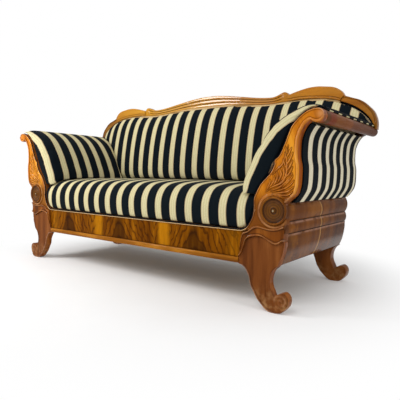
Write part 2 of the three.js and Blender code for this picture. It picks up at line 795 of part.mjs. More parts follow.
function spring(x, y, foot, height) {
  const wire = new THREE.Shape(
    Array.from({ length: spring_sides }, (_, i) => {
      const angle = (2 * Math.PI * i) / spring_sides;
      return new THREE.Vector2(spring_wire_radius * Math.cos(angle), spring_wire_radius * Math.sin(angle));
    }),
  );
  const coil = new THREE.ExtrudeGeometry(wire, {
    steps: spring_turns * spring_steps_per_turn,
    extrudePath: new SpringCurve(height),
    bevelEnabled: false,
  });
  coil.translate(x, y, foot);
  return closed_body(coil);
}

// All the coil springs, lashed together along and across by twine that runs to the rails.
function seat_springs() {
  const foot = seat_frame_foot + spring_wire_radius + gap;
  const twine_top = frame_top - gap;
  const height = twine_top - twine_thickness / 2 - spring_wire_radius - foot;
  const middle = (body_front + rail_thickness + rear_rail_front) / 2;
  const twine = twine_thickness / 2;
  const low = twine_top - twine_thickness;
  const bodies = [];
  for (let row = 0; row < spring_rows; row += 1) {
    const y = middle + (row - (spring_rows - 1) / 2) * spring_row_pitch;
    const reach = rail_half_length;
    // The coil ends at its right-hand side, so the lashing runs through that point.
    bodies.push(block(-reach, reach, y - twine, y + twine, low, twine_top));
    for (let i = 0; i < springs_per_row; i += 1) {
      const x = (i - (springs_per_row - 1) / 2) * spring_pitch;
      bodies.push(spring(x, y, foot, height));
      if (row === 0) {
        const across_x = x + spring_radius;
        const y0 = body_front + rail_thickness + gap;
        const y1 = rear_rail_front - gap;
        bodies.push(block(across_x - twine, across_x + twine, y0, y1, low, twine_top));
      }
    }
  }
  return joined(bodies);
}

// The seat: crowned, rounded over its front, its front corners turned up.
function seat_pad() {
  const stations = 22;
  const rings = Array.from({ length: stations + 1 }, (_, i) => {
    const turn = Math.sin(((i / stations) * 2 - 1) * (Math.PI / 2));
    const x = turn * (seat_half_length - soft_gap);
    const foot = seat_foot_at(x);
    const height = seat_crown_at(x) - seat_foot;
    const drawn_in = (seat_end_drop / 2) * Math.abs(turn) ** seat_edge_power;
    // Where the foot turns up, only the front face below the roundover is squeezed.
    const front_z = seat_foot + seat_front_share * height;
    const level = (v) => {
      if (v >= seat_front_share) return seat_foot + v * height;
      return foot + (v / seat_front_share) * (front_z - foot);
    };
    const section = seat_section_shares.map(
      ([u, v]) => new THREE.Vector3(x, u * seat_depth + drawn_in * (1 - u), level(v)),
    );
    return [...section, new THREE.Vector3(x, seat_depth, foot)];
  });
  return loft(rings);
}

function seat_hessian() {
  const half_width = rail_half_length + side_rail_thickness / 2;
  const front = body_front + rail_thickness * front_lap_share;
  const rear = rear_rail_front + rail_thickness * rear_lap_share;
  return block(-half_width, half_width, front, rear, frame_top + gap, frame_top + gap + hessian_thickness);
}

function seat_gimp() {
  const front = apron_setback - gap;
  const half = apron_half_length - apron_end_splay / 2;
  return block(-half, half, front - gimp_thickness, front, seat_line - gimp_height, seat_line - gap);
}

add(sofa, "seat_webbing", seat_webbing(), jute);
add(sofa, "seat_springs", seat_springs(), spring_steel);
add(sofa, "seat_hessian", seat_hessian(), jute);
add(sofa, "seat_pad", seat_pad(), stripe_cloth);
add(sofa, "seat_gimp", seat_gimp(), navy_cloth);

// Back

const post_inner_x = side_back_x - post_foot_width;

// The field of the back: up one side line, in under the crest, and mirrored down the other side.
function back_field(side) {
  const top = crest_low_stretch(0, back_pad_half_length / crest_half_span);
  const half = [...side, ...top.map((p) => new THREE.Vector2(p.x, p.y - soft_gap)).reverse()];
  const mirrored = half.slice(0, -1).reverse().map((p) => new THREE.Vector2(-p.x, p.y));
  return [...half, ...mirrored];
}

// The canvas behind the stuffing is cut to the inside of the two arms.
function back_canvas() {
  const side = [new THREE.Vector2(post_inner_x, back_rail_foot), ...arm_line()];
  return board(back_field(side), crest_front - gap - canvas_thickness, canvas_thickness);
}

// The posts and the rear cloth between them leave out the facing's foot.
const post_line_start_share = 0.26;
const post_line_shares = facing_inner_shares.filter(([, v]) => v > post_line_start_share);

function back_outer_cover() {
  const post_line = facing_line(post_line_shares, post_steps);
  const line = post_line.map((p) => new THREE.Vector2(p.x - soft_gap, p.y + gap));
  const foot = leg_height + gap;
  const inner_x = post_inner_x - soft_gap;
  const side = [new THREE.Vector2(inner_x, foot), new THREE.Vector2(inner_x, line[0].y), ...line.slice(1)];
  return board(back_field(side), back_front + back_cover_depth, back_cover_thickness);
}

// The back's stuffing, or with a margin the space that its neighbours leave for it.
function back_stuffing(margin) {
  const stations = 26;
  const rings = Array.from({ length: stations + 1 }, (_, i) => {
    const turn = Math.sin(((i / stations) * 2 - 1) * (Math.PI / 2));
    const x = turn * (back_pad_half_length + margin);
    const foot = back_foot_at(x) - margin;
    const top = back_top_at(x) + margin;
    const face = back_section_shares.map(([v]) => {
      const z = foot + v * (top - foot);
      return new THREE.Vector3(x, back_face(x, z) - margin, z);
    });
    return [new THREE.Vector3(x, pad_rear, foot), ...face, new THREE.Vector3(x, pad_rear, top)];
  });
  return loft(rings);
}

const back_rail_half = post_inner_x - gap;

function back_lower_rail() {
  const rear = back_front + back_cover_depth - gap;
  const top = back_rail_foot + back_rail_height;
  return block(-back_rail_half, back_rail_half, back_front, rear, back_rail_foot, top);
}

// The polished rail that closes the back between the rear legs.
function back_bottom_rail() {
  const rear = back_front + back_thickness;
  return block(-block_start, block_start, back_front, rear, seat_frame_foot, leg_height);
}

// The pine rail under the crest follows the crest's lower edge.
function back_top_rail() {
  const low = back_top_rail_height;
  const half_top = crest_low_stretch(0, shell_foot_share);
  const edge = half_top.map((p) => new THREE.Vector2(p.x, p.y - gap));
  const foot = half_top.map((p) => new THREE.Vector2(p.x, p.y - low));
  const upper = [...edge.slice(1).reverse().map((p) => new THREE.Vector2(-p.x, p.y)), ...edge];
  const lower = [...foot.slice(1).reverse().map((p) => new THREE.Vector2(-p.x, p.y)), ...foot];
  return board([...lower, ...upper.reverse()], back_front, back_cover_depth - gap);
}

function back_slat(side) {
  const x = side * back_slat_place;
  const half = back_slat_width / 2;
  const top = Math.min(crest_low(x - half), crest_low(x + half)) - back_top_rail_height - gap;
  const foot = back_rail_foot + back_rail_height + gap;
  return block(x - half, x + half, back_front, back_front + back_cover_depth - gap, foot, top);
}

add(sofa, "back_bottom_rail", back_bottom_rail(), walnut_dark);
add(sofa, "back_lower_rail", back_lower_rail(), pine);
add(sofa, "back_top_rail", back_top_rail(), pine);
add(sofa, "back_slat_left", back_slat(-1), pine);
add(sofa, "back_slat_right", back_slat(1), pine);
add(sofa, "back_canvas", back_canvas(), jute);
add(sofa, "back_pad", back_stuffing(0), stripe_cloth);
add(sofa, "back_outer_cover", back_outer_cover(), navy_cloth);

// Crest

// The middle of the crest: reeds run along its front and end in a small knob each side.
function crest_centre() {
  const top_line = smooth(crest_points(centre_top_shares), crest_steps).map((p) => [p.x, p.y]);
  const half = centre_half_length - gap;
  const kept = (x, i) => x < half - shortest_facet && (i % 2 === 0 || x > half * knob_start_share);
  const places = top_line.map(([x]) => x).filter(kept);
  const all = [...places.slice(1).map((x) => -x).reverse(), ...places];
  const stations = [-half, ...all, half];
  const back = crest_front + crest_thickness;
  const rings = stations.map((x) => {
    const low = crest_low(x);
    const top = along(top_line, Math.abs(x));
    const face = [];
    for (let r = 0; r < reed_count; r += 1) {
      const z = (share) => low + ((top - low) * (r + share)) / reed_count;
      face.push(new THREE.Vector3(x, crest_front + reed_depth, z(0)));
      const crown_y = crest_front + reed_valley;
      face.push(...reed_flat_shares.map((share) => new THREE.Vector3(x, crown_y, z(share))));
    }
    return [
      new THREE.Vector3(x, back, low),
      ...face,
      new THREE.Vector3(x, crest_front + reed_depth, top),
      new THREE.Vector3(x, back, top),
    ];
  });
  return loft(rings);
}

// A plump shell-shaped tablet beside the centre.
function crest_shell() {
  const start_share = centre_half_length / crest_half_span;
  const low = crest_low_stretch(start_share, shell_foot_share);
  const top = smooth(crest_points(shell_top_shares), outline_steps).reverse();
  const front = crest_front - shell_proud;
  return board([...low, ...top], front, crest_thickness + shell_proud);
}

// The narrow rail that sweeps down from the shell to the rear end of the arm roll.
function crest_shoulder() {
  const low = crest_low_stretch(shell_foot_share, crest_low_shares[crest_low_shares.length - 1][0]);
  const top = smooth(crest_points(shoulder_top_shares), outline_steps).reverse();
  const outline = [...low, ...top].map((p) => new THREE.Vector2(p.x + gap, p.y));
  return board(outline, crest_front, crest_thickness);
}

add(sofa, "crest_centre", crest_centre(), walnut_crest);

// One end of the settee, drawn for the right-hand side; the left is its mirror image.

const post_foot_z = leg_height + gap;

// The rear post: the facing's outline above the body, on a plain stem that stands on the rear leg.
function rear_post() {
  const inner = facing_line(post_line_shares, post_steps);
  const outer = facing_line(facing_outer_shares, post_steps);
  const outline = [
    new THREE.Vector2(post_inner_x, post_foot_z),
    new THREE.Vector2(post_inner_x, inner[0].y),
    ...inner.slice(1),
    ...outer.map((p) => new THREE.Vector2(p.x - post_inset, p.y)),
    new THREE.Vector2(side_back_x - gap, ovolo_top),
    new THREE.Vector2(side_back_x - gap, post_foot_z),
  ];
  const plank = board(outline, back_front, back_thickness);
  const bore = new THREE.CylinderGeometry(
    roll_radius + gap,
    roll_radius + gap,
    2 * back_thickness + overrun,
    roll_steps,
  );
  bore.translate(roll_half_span, back_front, roll_height);
  return cut(plank, closed_body(bore));
}

const roll_steps = 24;

function arm_roll() {
  const length = rear_face - body_front;
  const roll = new THREE.CylinderGeometry(roll_radius, roll_radius, length, roll_steps);
  roll.translate(roll_half_span, body_front + length / 2, roll_height);
  return closed_body(roll);
}

const rosette_steps = 28;

// A turned ring with a rounded crown.
function rosette_ring() {
  const r0 = rosette_disc_radius + gap;
  const r1 = rosette_ring_radius;
  const width = r1 - r0;
  const profile = [
    [r0, -gap],
    [r0, -rosette_proud + rosette_dish / 2],
    [r0 + width * ring_round_share, -rosette_proud],
    [r1 - width * ring_round_share, -rosette_proud],
    [r1, -rosette_proud + rosette_dish],
    [r1, -gap],
    [r0, -gap],
  ];
  return turned(profile, rosette_steps, rosette_x, rosette_z);
}

// A dished disc with a raised rim and a small button at its centre.
function rosette_disc() {
  const face = -rosette_proud + rosette_dish;
  const profile = [
    [0, -gap],
    [rosette_disc_radius, -gap],
    [rosette_disc_radius, face - rosette_dish / 2],
    [rosette_disc_radius * disc_rim_share, face],
    [rosette_button_ground, face - rosette_turning],
    [rosette_button_radius, face - rosette_turning],
    [rosette_button_radius * button_crown_share, -rosette_proud + rosette_turning / 2],
    [0, -rosette_proud],
  ];
  return turned(profile, rosette_steps, rosette_x, rosette_z);
}

// Each side moulding runs from the end boards to a little behind the posts' front.
function side_run(section) {
  return board(section, body_front, side_length);
}

const round_steps = 8;

// A rounded section between two heights that bulges past the side of the body.
function bulged_section(foot, height, bulge) {
  const face = Array.from({ length: round_steps + 1 }, (_, i) => {
    const out = bulge * (Math.sin((Math.PI * i) / round_steps) - bulge_start_share);
    return new THREE.Vector2(side_x + out, foot + (height * i) / round_steps);
  });
  return [new THREE.Vector2(side_back_x, foot), ...face, new THREE.Vector2(side_back_x, foot + height)];
}

function side_bombe() {
  const edge = leg_line(leg_outer_shares);
  const face = edge.filter((p) => p.y > bombe_foot);
  const start = new THREE.Vector2(along(edge.map((p) => [p.y, p.x]), bombe_foot), bombe_foot);
  return side_run([
    new THREE.Vector2(side_back_x, bombe_foot),
    start,
    ...face,
    new THREE.Vector2(side_x - gap, bombe_top),
    new THREE.Vector2(side_back_x, bombe_top),
  ]);
}

// The part of a rising line that lies above a level.
function above(points, level) {
  const i = points.findIndex((p) => p.y > level);
  if (i < 1) return points;
  const share = (level - points[i - 1].y) / (points[i].y - points[i - 1].y);
  return [points[i - 1].clone().lerp(points[i], share), ...points.slice(i)];
}

const arm_ring_steps = 16;
const spaced = (points) => new THREE.Path().setFromPoints(points).getSpacedPoints(arm_ring_steps);

// The stuffing's section, from a foot level up, with its inner face drawn in by an inset.
function arm_section(foot, inset) {
  const line = arm_line();
  const inner = offset_line(line, (share) => {
    const full = along(arm_pad_thickness_shares, share) * arm_pad_thickness;
    return full - Math.min(inset, full / 2);
  });
  inner.unshift(new THREE.Vector2(inner[0].x, arm_pad_foot - overrun));
  return [...spaced(above(line, foot)), ...spaced(above(inner, foot)).reverse()];
}

// The arm's stuffing: rings from its rounded front edge to the rear, cut to fit the back.
function arm_pad() {
  const front_steps = 4;
  const seat_contact_x = arm_line()[0].x - arm_pad_thickness;
  const foot_at = (y) => Math.max(seat_top(seat_contact_x, y) + gap, arm_pad_foot);
  const ring_at = (y, inset) => arm_section(foot_at(y), inset).map((p) => new THREE.Vector3(p.x, y, p.y));
  const rings = [];
  for (let i = 0; i <= front_steps; i += 1) {
    const angle = ((Math.PI / 2) * i) / front_steps;
    const y = arm_pad_front + arm_pad_roundness * (1 - Math.cos(angle));
    rings.push(ring_at(y, arm_pad_roundness * (1 - Math.sin(angle))));
  }
  // Its foot bends where the seat's section bends, so that it lies on the seat all along.
  const start = arm_pad_front + arm_pad_roundness;
  const end = pad_rear - back_pad_edge / 2;
  const bends = seat_top_pairs.map(([y]) => y).filter((y) => y > start + overrun && y < end - overrun);
  rings.push(...bends.map((y) => ring_at(y, 0)), ring_at(end, 0));
  return cut(loft(rings), back_stuffing(arm_back_gap));
}

function build_end(side, side_name) {
  const end = new THREE.Group();
  end.scale.x = side;
  const named = (name) => `${name}_${side_name}`;
  const arm_length = body_rear - body_front;
  const rear_leg_thickness = back_front + back_thickness - rear_leg_front;
  const arch_thickness = board_thickness + arch_proud;

  add(end, named("front_leg"), board(leg_outline(), 0, board_thickness), walnut_dark);
  add(end, named("rear_leg"), board(rear_leg_outline(), rear_leg_front, rear_leg_thickness), walnut_dark);
  add(end, named("arch_moulding"), board(arch_outline(), -arch_proud, arch_thickness), walnut_gold);
  add(end, named("arm_facing"), board(facing_outline(), 0, board_thickness), walnut_gold);
  add(end, named("rosette_ring"), rosette_ring(), walnut_gold);
  add(end, named("rosette_disc"), rosette_disc(), walnut_dark);
  add(end, named("arm_roll"), arm_roll(), walnut_dark);
  add(end, named("rear_post"), rear_post(), walnut_dark);

  add(end, named("side_bombe"), side_bombe(), walnut_gold);
  add(end, named("side_torus"), side_run(bulged_section(torus_foot, torus_height, torus_bulge)), walnut_dark);
  add(end, named("side_ovolo"), side_run(bulged_section(ovolo_foot, ovolo_height, ovolo_bulge)), walnut_dark);

  const rail_x1 = side_rail_x;
  const rail_x0 = rail_x1 - side_rail_thickness;
  const rail_y1 = rear_leg_front - gap;
  const side_rail = block(rail_x0, rail_x1, body_front, rail_y1, seat_frame_foot, frame_top);
  add(end, named("side_rail"), side_rail, pine);
  const front_corner = body_front + rail_thickness + gap;
  add(end, named("front_corner_block"), corner_block(front_corner, 1), pine);
  add(end, named("rear_corner_block"), corner_block(rear_rail_front - gap, -1), pine);
  const arm_rail_z = ovolo_top - arm_rail_height;
  add(end, named("arm_rail"), block(arm_rail_x, rail_x1, body_front, body_rear, arm_rail_z, ovolo_top), pine);

  add(end, named("arm_canvas"), board(arm_canvas_outline(), body_front, arm_length), jute);
  add(end, named("arm_outer_cover"), arm_outer_cover(), stripe_cloth);
  add(end, named("arm_pad"), arm_pad(), stripe_cloth);

  add(end, named("crest_shell"), crest_shell(), walnut_crest);
  add(end, named("crest_shoulder"), crest_shoulder(), walnut_crest);
  return end;
}

sofa.add(build_end(-1, "left"));
sofa.add(build_end(1, "right"));

// The origin lies under the middle of the whole: halfway between the rosettes and the rear face.
const front_face = -rosette_proud;
sofa.position.y = -(front_face + rear_face) / 2;

export default sofa;
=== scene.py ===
# %% [markdown]
# # A scroll-arm settee in striped cloth
# The frame of the settee comes in ready made, as a fixed model whose parts already sit where they belong.
# This lesson dresses it: walnut with a figure in it, carved and turned details, and stuffed, striped
# upholstery. Lengths are in metres. The front faces -Y, the floor is z = 0, and x = 0 is the middle of
# the seat.

import math

import bmesh
import bpy
import numpy as np
from mathutils import Matrix, Vector


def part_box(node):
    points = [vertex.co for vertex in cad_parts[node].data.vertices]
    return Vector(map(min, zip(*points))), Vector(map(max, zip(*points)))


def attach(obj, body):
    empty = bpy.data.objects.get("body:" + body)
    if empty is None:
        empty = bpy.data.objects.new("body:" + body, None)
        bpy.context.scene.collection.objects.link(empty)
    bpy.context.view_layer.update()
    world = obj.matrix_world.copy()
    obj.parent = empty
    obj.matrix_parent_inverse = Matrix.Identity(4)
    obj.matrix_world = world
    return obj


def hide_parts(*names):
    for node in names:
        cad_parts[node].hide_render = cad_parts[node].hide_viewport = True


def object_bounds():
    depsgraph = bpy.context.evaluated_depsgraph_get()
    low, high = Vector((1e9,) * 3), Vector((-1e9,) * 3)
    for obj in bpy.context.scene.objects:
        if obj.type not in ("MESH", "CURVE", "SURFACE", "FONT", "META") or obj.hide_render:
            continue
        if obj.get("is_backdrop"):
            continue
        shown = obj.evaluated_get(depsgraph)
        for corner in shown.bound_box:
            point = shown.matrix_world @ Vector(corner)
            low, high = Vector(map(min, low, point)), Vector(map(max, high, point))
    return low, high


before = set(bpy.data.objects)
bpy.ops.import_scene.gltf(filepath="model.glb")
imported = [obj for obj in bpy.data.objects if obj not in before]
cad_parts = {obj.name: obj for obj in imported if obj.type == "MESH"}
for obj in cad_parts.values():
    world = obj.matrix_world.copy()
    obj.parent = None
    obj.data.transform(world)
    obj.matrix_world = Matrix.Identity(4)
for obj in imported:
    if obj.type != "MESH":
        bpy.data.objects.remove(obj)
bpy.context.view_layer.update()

# %% [markdown]
# ## Measures
# Outlines are written in millimetres, as a joiner would mark them on a plank, and MM turns them into
# metres. Depths count back from the front face of the end boards. The settee's two ends are alike, so
# each of their pieces is made by a loop over ENDS.

# %% Measures
MM = 0.001
GAP = 0.3 * MM  # between wooden pieces that touch
BOARD_FRONT = -353.5 * MM  # the front face of the end boards
BOARD = 38 * MM  # their thickness
BOARD_REAR = BOARD_FRONT + BOARD
BODY_FRONT = BOARD_FRONT + BOARD + GAP  # what lies behind the end boards
POST_FRONT = BOARD_FRONT + 684 * MM
SIDE_REAR = BOARD_FRONT + 700.3 * MM
REAR = BOARD_FRONT + 718 * MM
ROSETTE_X, ROSETTE_Z = 839 * MM, 406 * MM
ENDS = ((1, "right"), (-1, "left"))
print("board front at", round(BOARD_FRONT, 4), "rear at", round(REAR, 4))

# %% [markdown]
# ## Smooth lines
# A joiner's template is a smooth line through a few marks. A curve object could draw it, but the pieces
# below need its points as numbers, so a spline is worked out here for whole arrays at once.

# %% Smooth lines
def spline(rows, steps):
    """Smooth line through rows. Between two rows each new point is a cubic blend of the four nearest
    rows, whose slope at a row is half the way from the row before to the row after."""
    rows = np.asarray(rows, float)
    wide = np.vstack([rows[:1], rows, rows[-1:]])
    t = np.linspace(0, len(rows) - 1, (len(rows) - 1) * steps + 1)
    i = np.minimum(t.astype(int), len(rows) - 2)
    f = (t - i)[:, None]
    a, b, c, d = wide[i], wide[i + 1], wide[i + 2], wide[i + 3]
    bow, twist = 2 * a - 5 * b + 4 * c - d, 3 * b - a - 3 * c + d
    return 0.5 * (2 * b + (c - a) * f + bow * f**2 + twist * f**3)


def distances(line):
    """How far along a line each of its points lies."""
    return np.concatenate([[0], np.cumsum(np.linalg.norm(np.diff(line, axis=0), axis=1))])


print("points of a line through 3 marks:", len(spline([(0, 0), (1, 1), (2, 0)], 4)))

# %% [markdown]
# ## Surfaces
# Every new piece is a grid of points. Joining a grid's neighbours with four-sided faces gives a clean
# mesh without a loop over its vertices. The grid is closed where the real piece is closed, all faces are
# turned outwards, and an edge stays where faces meet sharply.

# %% Surfaces
def surface(name, points, loop=False, caps=False, sharp=35, marks=None):
    """Mesh object over points[i, j]. Face i, j joins the points i, i+1 and j, j+1; with loop the last j
    joins the first, and caps close the first and the last row. Faces that meet at more than sharp degrees
    keep an edge. Each of marks, a value per point, becomes an attribute of that name."""
    rows, columns = points.shape[:2]
    i, j = np.meshgrid(np.arange(rows - 1), np.arange(columns if loop else columns - 1), indexing="ij")
    k = (j + 1) % columns
    faces = np.stack([i * columns + j, (i + 1) * columns + j, (i + 1) * columns + k, i * columns + k], -1)
    faces = faces.reshape(-1, 4).tolist()
    if caps:
        last = (rows - 1) * columns
        faces += [list(range(columns)), list(range(last, last + columns))]
    mesh = bpy.data.meshes.new(name)
    mesh.from_pydata(points.reshape(-1, 3).tolist(), [], faces)
    for title, values in (marks or {}).items():
        layer = mesh.attributes.new(title, "FLOAT", "POINT")
        layer.data.foreach_set("value", values.astype(np.float32).ravel())
    work = bmesh.new()
    work.from_mesh(mesh)
    bmesh.ops.remove_doubles(work, verts=work.verts, dist=2e-6)
    bmesh.ops.recalc_face_normals(work, faces=work.faces)
    work.to_mesh(mesh)
    work.free()
    mesh.shade_smooth()
    mesh.set_sharp_from_angle(angle=math.radians(sharp))
    piece = bpy.data.objects.new(name, mesh)
    bpy.context.scene.collection.objects.link(piece)
    return piece


def mirrored(points, side):
    """The same grid for the other end: x times side, which is 1 or -1."""
    return points * np.array([side, 1.0, 1.0])


def places(piece):
    """The piece's vertices as rows of x, y, z."""
    co = np.zeros(len(piece.data.vertices) * 3, np.float32)
    piece.data.vertices.foreach_get("co", co)
    return co.reshape(-1, 3).astype(float)


print("surface tools ready")

# %% [markdown]
# ## Fitting a piece
# A finished piece gets its finish, rides on the frame's only body, and hides the plain solids that it
# stands for. A sawn board shows other wood on its sides than on its face, so faces that lie deeper than its
# front may have a finish of their own.

# %% Fitting a piece
def fit(piece, material, slot, *nodes, edge=None):
    """Gives a finished piece its material and its body, and hides the frame's nodes that it replaces. slot
    is not used. edge, a second material with a depth, goes on the faces whose middle lies deeper than that."""
    piece.data.materials.clear()
    piece.data.materials.append(material)
    if edge:
        piece.data.materials.append(edge[0])
        middles = np.zeros(len(piece.data.polygons) * 3, np.float32)
        piece.data.polygons.foreach_get("center", middles)
        deeper = middles.reshape(-1, 3)[:, 1] > edge[1]
        piece.data.polygons.foreach_set("material_index", deeper.astype(np.int32))
    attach(piece, "root")
    if nodes:
        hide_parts(*nodes)
    return piece


# %% [markdown]
# ## Shader helpers
# A finish is a small network of nodes. Placing them one by one takes four lines each, so these helpers
# add a node, a sum or a mixture in one call, and the finishes below read like recipes.

# %% Nodes
def new_material(name):
    """A new material, its node tree and its shader."""
    material = bpy.data.materials.new(name)
    material.use_nodes = True
    return material, material.node_tree, material.node_tree.nodes["Principled BSDF"]


def group(name, inputs, outputs):
    """An empty shader group with float or vector inputs (name, kind, default) and float outputs."""
    tree = bpy.data.node_groups.new(name, "ShaderNodeTree")
    for title, kind, default in inputs:
        socket = tree.interface.new_socket(title, in_out="INPUT", socket_type=kind)
        if default is not None:
            socket.default_value = default
    for title in outputs:
        tree.interface.new_socket(title, in_out="OUTPUT", socket_type="NodeSocketFloat")
    return tree, tree.nodes.new("NodeGroupInput"), tree.nodes.new("NodeGroupOutput")


def node(tree, kind, links=None, **values):
    """A node of the given kind: attributes by name, inputs by number or name in links."""
    made = tree.nodes.new("ShaderNode" + kind)
    for key, value in values.items():
        setattr(made, key, value)
    for key, value in (links or {}).items():
        if isinstance(value, bpy.types.NodeSocket):
            tree.links.new(value, made.inputs[key])
        else:
            made.inputs[key].default_value = value
    return made


def maths(tree, operation, a, b=0.0, c=0.0, clamp=False):
    """One sum, product or other operation of up to three values."""
    return node(tree, "Math", {0: a, 1: b, 2: c}, operation=operation, use_clamp=clamp).outputs[0]


def times(tree, a, b):
    """The product of two values."""
    return maths(tree, "MULTIPLY", a, b)


print("node helpers ready")

# %% [markdown]
# ### Ramps, clouds and mixtures
# Most patterns on wood and cloth come down to four things: a colour that depends on a value, a step that
# isn't sharp, a soft cloud, and a mixture of two colours.

# %% Ramps, clouds and mixtures
def srgb(red, green, blue):
    """A colour named by its screen values, as linear light."""
    shares = (red / 255, green / 255, blue / 255)
    return tuple(c / 12.92 if c <= 0.04045 else ((c + 0.055) / 1.055) ** 2.4 for c in shares)


def ramp(tree, value, stops):
    """Colour by value, with soft turns: stops are (place, (r, g, b))."""
    made = node(tree, "ValToRGB", {0: value})
    line = made.color_ramp
    line.interpolation = "EASE"
    while len(line.elements) < len(stops):
        line.elements.new(0.5)
    for element, (place, colour) in zip(line.elements, stops):
        element.position = place
        element.color = (*colour, 1.0)
    return made.outputs[0]


def smoothstep(tree, low, high, value):
    """0 below low, 1 above high, and a smooth S between."""
    inputs = {"Value": value, "From Min": low, "From Max": high}
    return node(tree, "MapRange", inputs, interpolation_type="SMOOTHSTEP").outputs[0]


def bump_at(tree, value, middle, width):
    """1 at middle, falling to 0 at a distance of width."""
    away = maths(tree, "ABSOLUTE", maths(tree, "SUBTRACT", value, middle))
    return smoothstep(tree, width, width * 0.35, away)


def clouds(tree, place, scale, detail=2.0, roughness=0.5):
    """Soft clouds with values round 0.5; a larger scale makes them smaller."""
    inputs = {"Vector": place, "Scale": scale, "Detail": detail, "Roughness": roughness}
    return node(tree, "TexNoise", inputs).outputs["Fac"]


def mix(tree, share, first, second, way="MIX"):
    """first where share is 0, second where it is 1. Each is a socket or a colour of three values."""
    first, second = ((*end, 1.0) if isinstance(end, tuple) else end for end in (first, second))
    return node(tree, "MixRGB", {0: share, 1: first, 2: second}, blend_type=way).outputs[0]


print("full white is", srgb(255, 255, 255))

# %% [markdown]
# ## Walnut
# Polished walnut shows long fine pores, soft streaks of colour along the grain and, in good veneer, a
# figure. A picture of wood would repeat itself and wouldn't follow a turned or bent piece. Clouds that
# are stretched along the grain do both. Several finishes need them, so they are a node group, which only
# puts out masks and a height.

# %% Grain
STREAK_STRETCH, PORE_STRETCH = 0.12, 0.04  # scale along the grain, as a share of that across it
TURN = 6.283  # radians


def plank_grain():
    """Figure: soft streaks along Z, as clouds plus a sine whose phase the clouds bend. Pores: fine dark
    lines. Height: the figure less the pores."""
    tree, start, end = group(
        "plank_grain",
        [("Vector", "NodeSocketVector", None), ("Streaks", "NodeSocketFloat", 22.0),
         ("Waves", "NodeSocketFloat", 0.3)],
        ["Figure", "Pores", "Height"])
    vector, streaks = start.outputs["Vector"], start.outputs["Streaks"]
    squeezed = node(tree, "Mapping", {"Vector": vector, "Scale": (1.0, 1.0, STREAK_STRETCH)}).outputs[0]
    cloud = clouds(tree, squeezed, streaks, 4.0, 0.55)
    parts = node(tree, "SeparateXYZ", {0: squeezed})
    across = maths(tree, "ADD", parts.outputs[0], times(tree, parts.outputs[1], 0.8))
    bend = times(tree, cloud, 9.0)
    phase = maths(tree, "ADD", times(tree, across, times(tree, streaks, 9.0)), bend)
    wave = times(tree, maths(tree, "SINE", phase), start.outputs["Waves"])
    figure = maths(tree, "ADD", cloud, times(tree, wave, 0.25), clamp=True)
    fine = node(tree, "Mapping", {"Vector": vector, "Scale": (1.0, 1.0, PORE_STRETCH)}).outputs[0]
    pores = smoothstep(tree, 0.55, 0.75, clouds(tree, fine, 420.0))
    tree.links.new(figure, end.inputs["Figure"])
    tree.links.new(pores, end.inputs["Pores"])
    tree.links.new(maths(tree, "SUBTRACT", figure, pores), end.inputs["Height"])
    return tree


GRAIN = plank_grain()
print("group", GRAIN.name)

# %% [markdown]
# ### Wear
# Hands rub the polish off edges and ridges, and dirt stays in hollows and joints. The same marks also paint
# light: hollows, cuts and joints are darkened as painted shade, and edges and ridges are lightened as
# painted highlight. Pointiness, which Cycles reads from the mesh, finds sharp edges, but not a shallow cut.
# So the carved pieces also carry two attributes, groove and rim, which their own formulas fill in.

# %% Wear
def wear_and_painted_light():
    """Edge: high on convex edges and on rim marks, in patches, as wear and as painted highlight. Shine: the
    same without the patches. The dark output: high in hollows and in groove marks, as dirt and as painted
    shade."""
    inputs = [("Vector", "NodeSocketVector", None)]
    tree, start, end = group("wear_and_painted_light", inputs, ["Edge", "DirtAndShade", "Shine"])
    pointy = node(tree, "NewGeometry").outputs["Pointiness"]
    groove = node(tree, "Attribute", attribute_name="groove").outputs["Fac"]
    rim = node(tree, "Attribute", attribute_name="rim").outputs["Fac"]
    patches = smoothstep(tree, 0.3, 0.6, clouds(tree, start.outputs["Vector"], 30.0, 3.0))
    convex = smoothstep(tree, 0.56, 0.66, pointy)
    # Convex edges and rim marks: wear and painted highlight.
    rubbed = maths(tree, "ADD", times(tree, convex, 0.3), rim, clamp=True)
    # Hollows: dirt and painted shade.
    hollow = times(tree, smoothstep(tree, 0.49, 0.42, pointy), 0.6)
    tree.links.new(times(tree, rubbed, patches), end.inputs["Edge"])
    tree.links.new(maths(tree, "ADD", rim, convex, clamp=True), end.inputs["Shine"])
    tree.links.new(maths(tree, "ADD", hollow, groove, clamp=True), end.inputs["DirtAndShade"])
    return tree


WEAR_AND_LIGHT = wear_and_painted_light()
print("group", WEAR_AND_LIGHT.name)

# %% [markdown]
# ### The walnut recipe
# The settee shows several walnuts: amber facings, red-brown legs, a golden crest and dark turned pieces.
# They share one recipe and differ in colours, in the width of the streaks and in the way the plank was
# turned. Some pieces also have a colour of their own at a place, such as a strip of pale sapwood, and
# these come in as inlays.

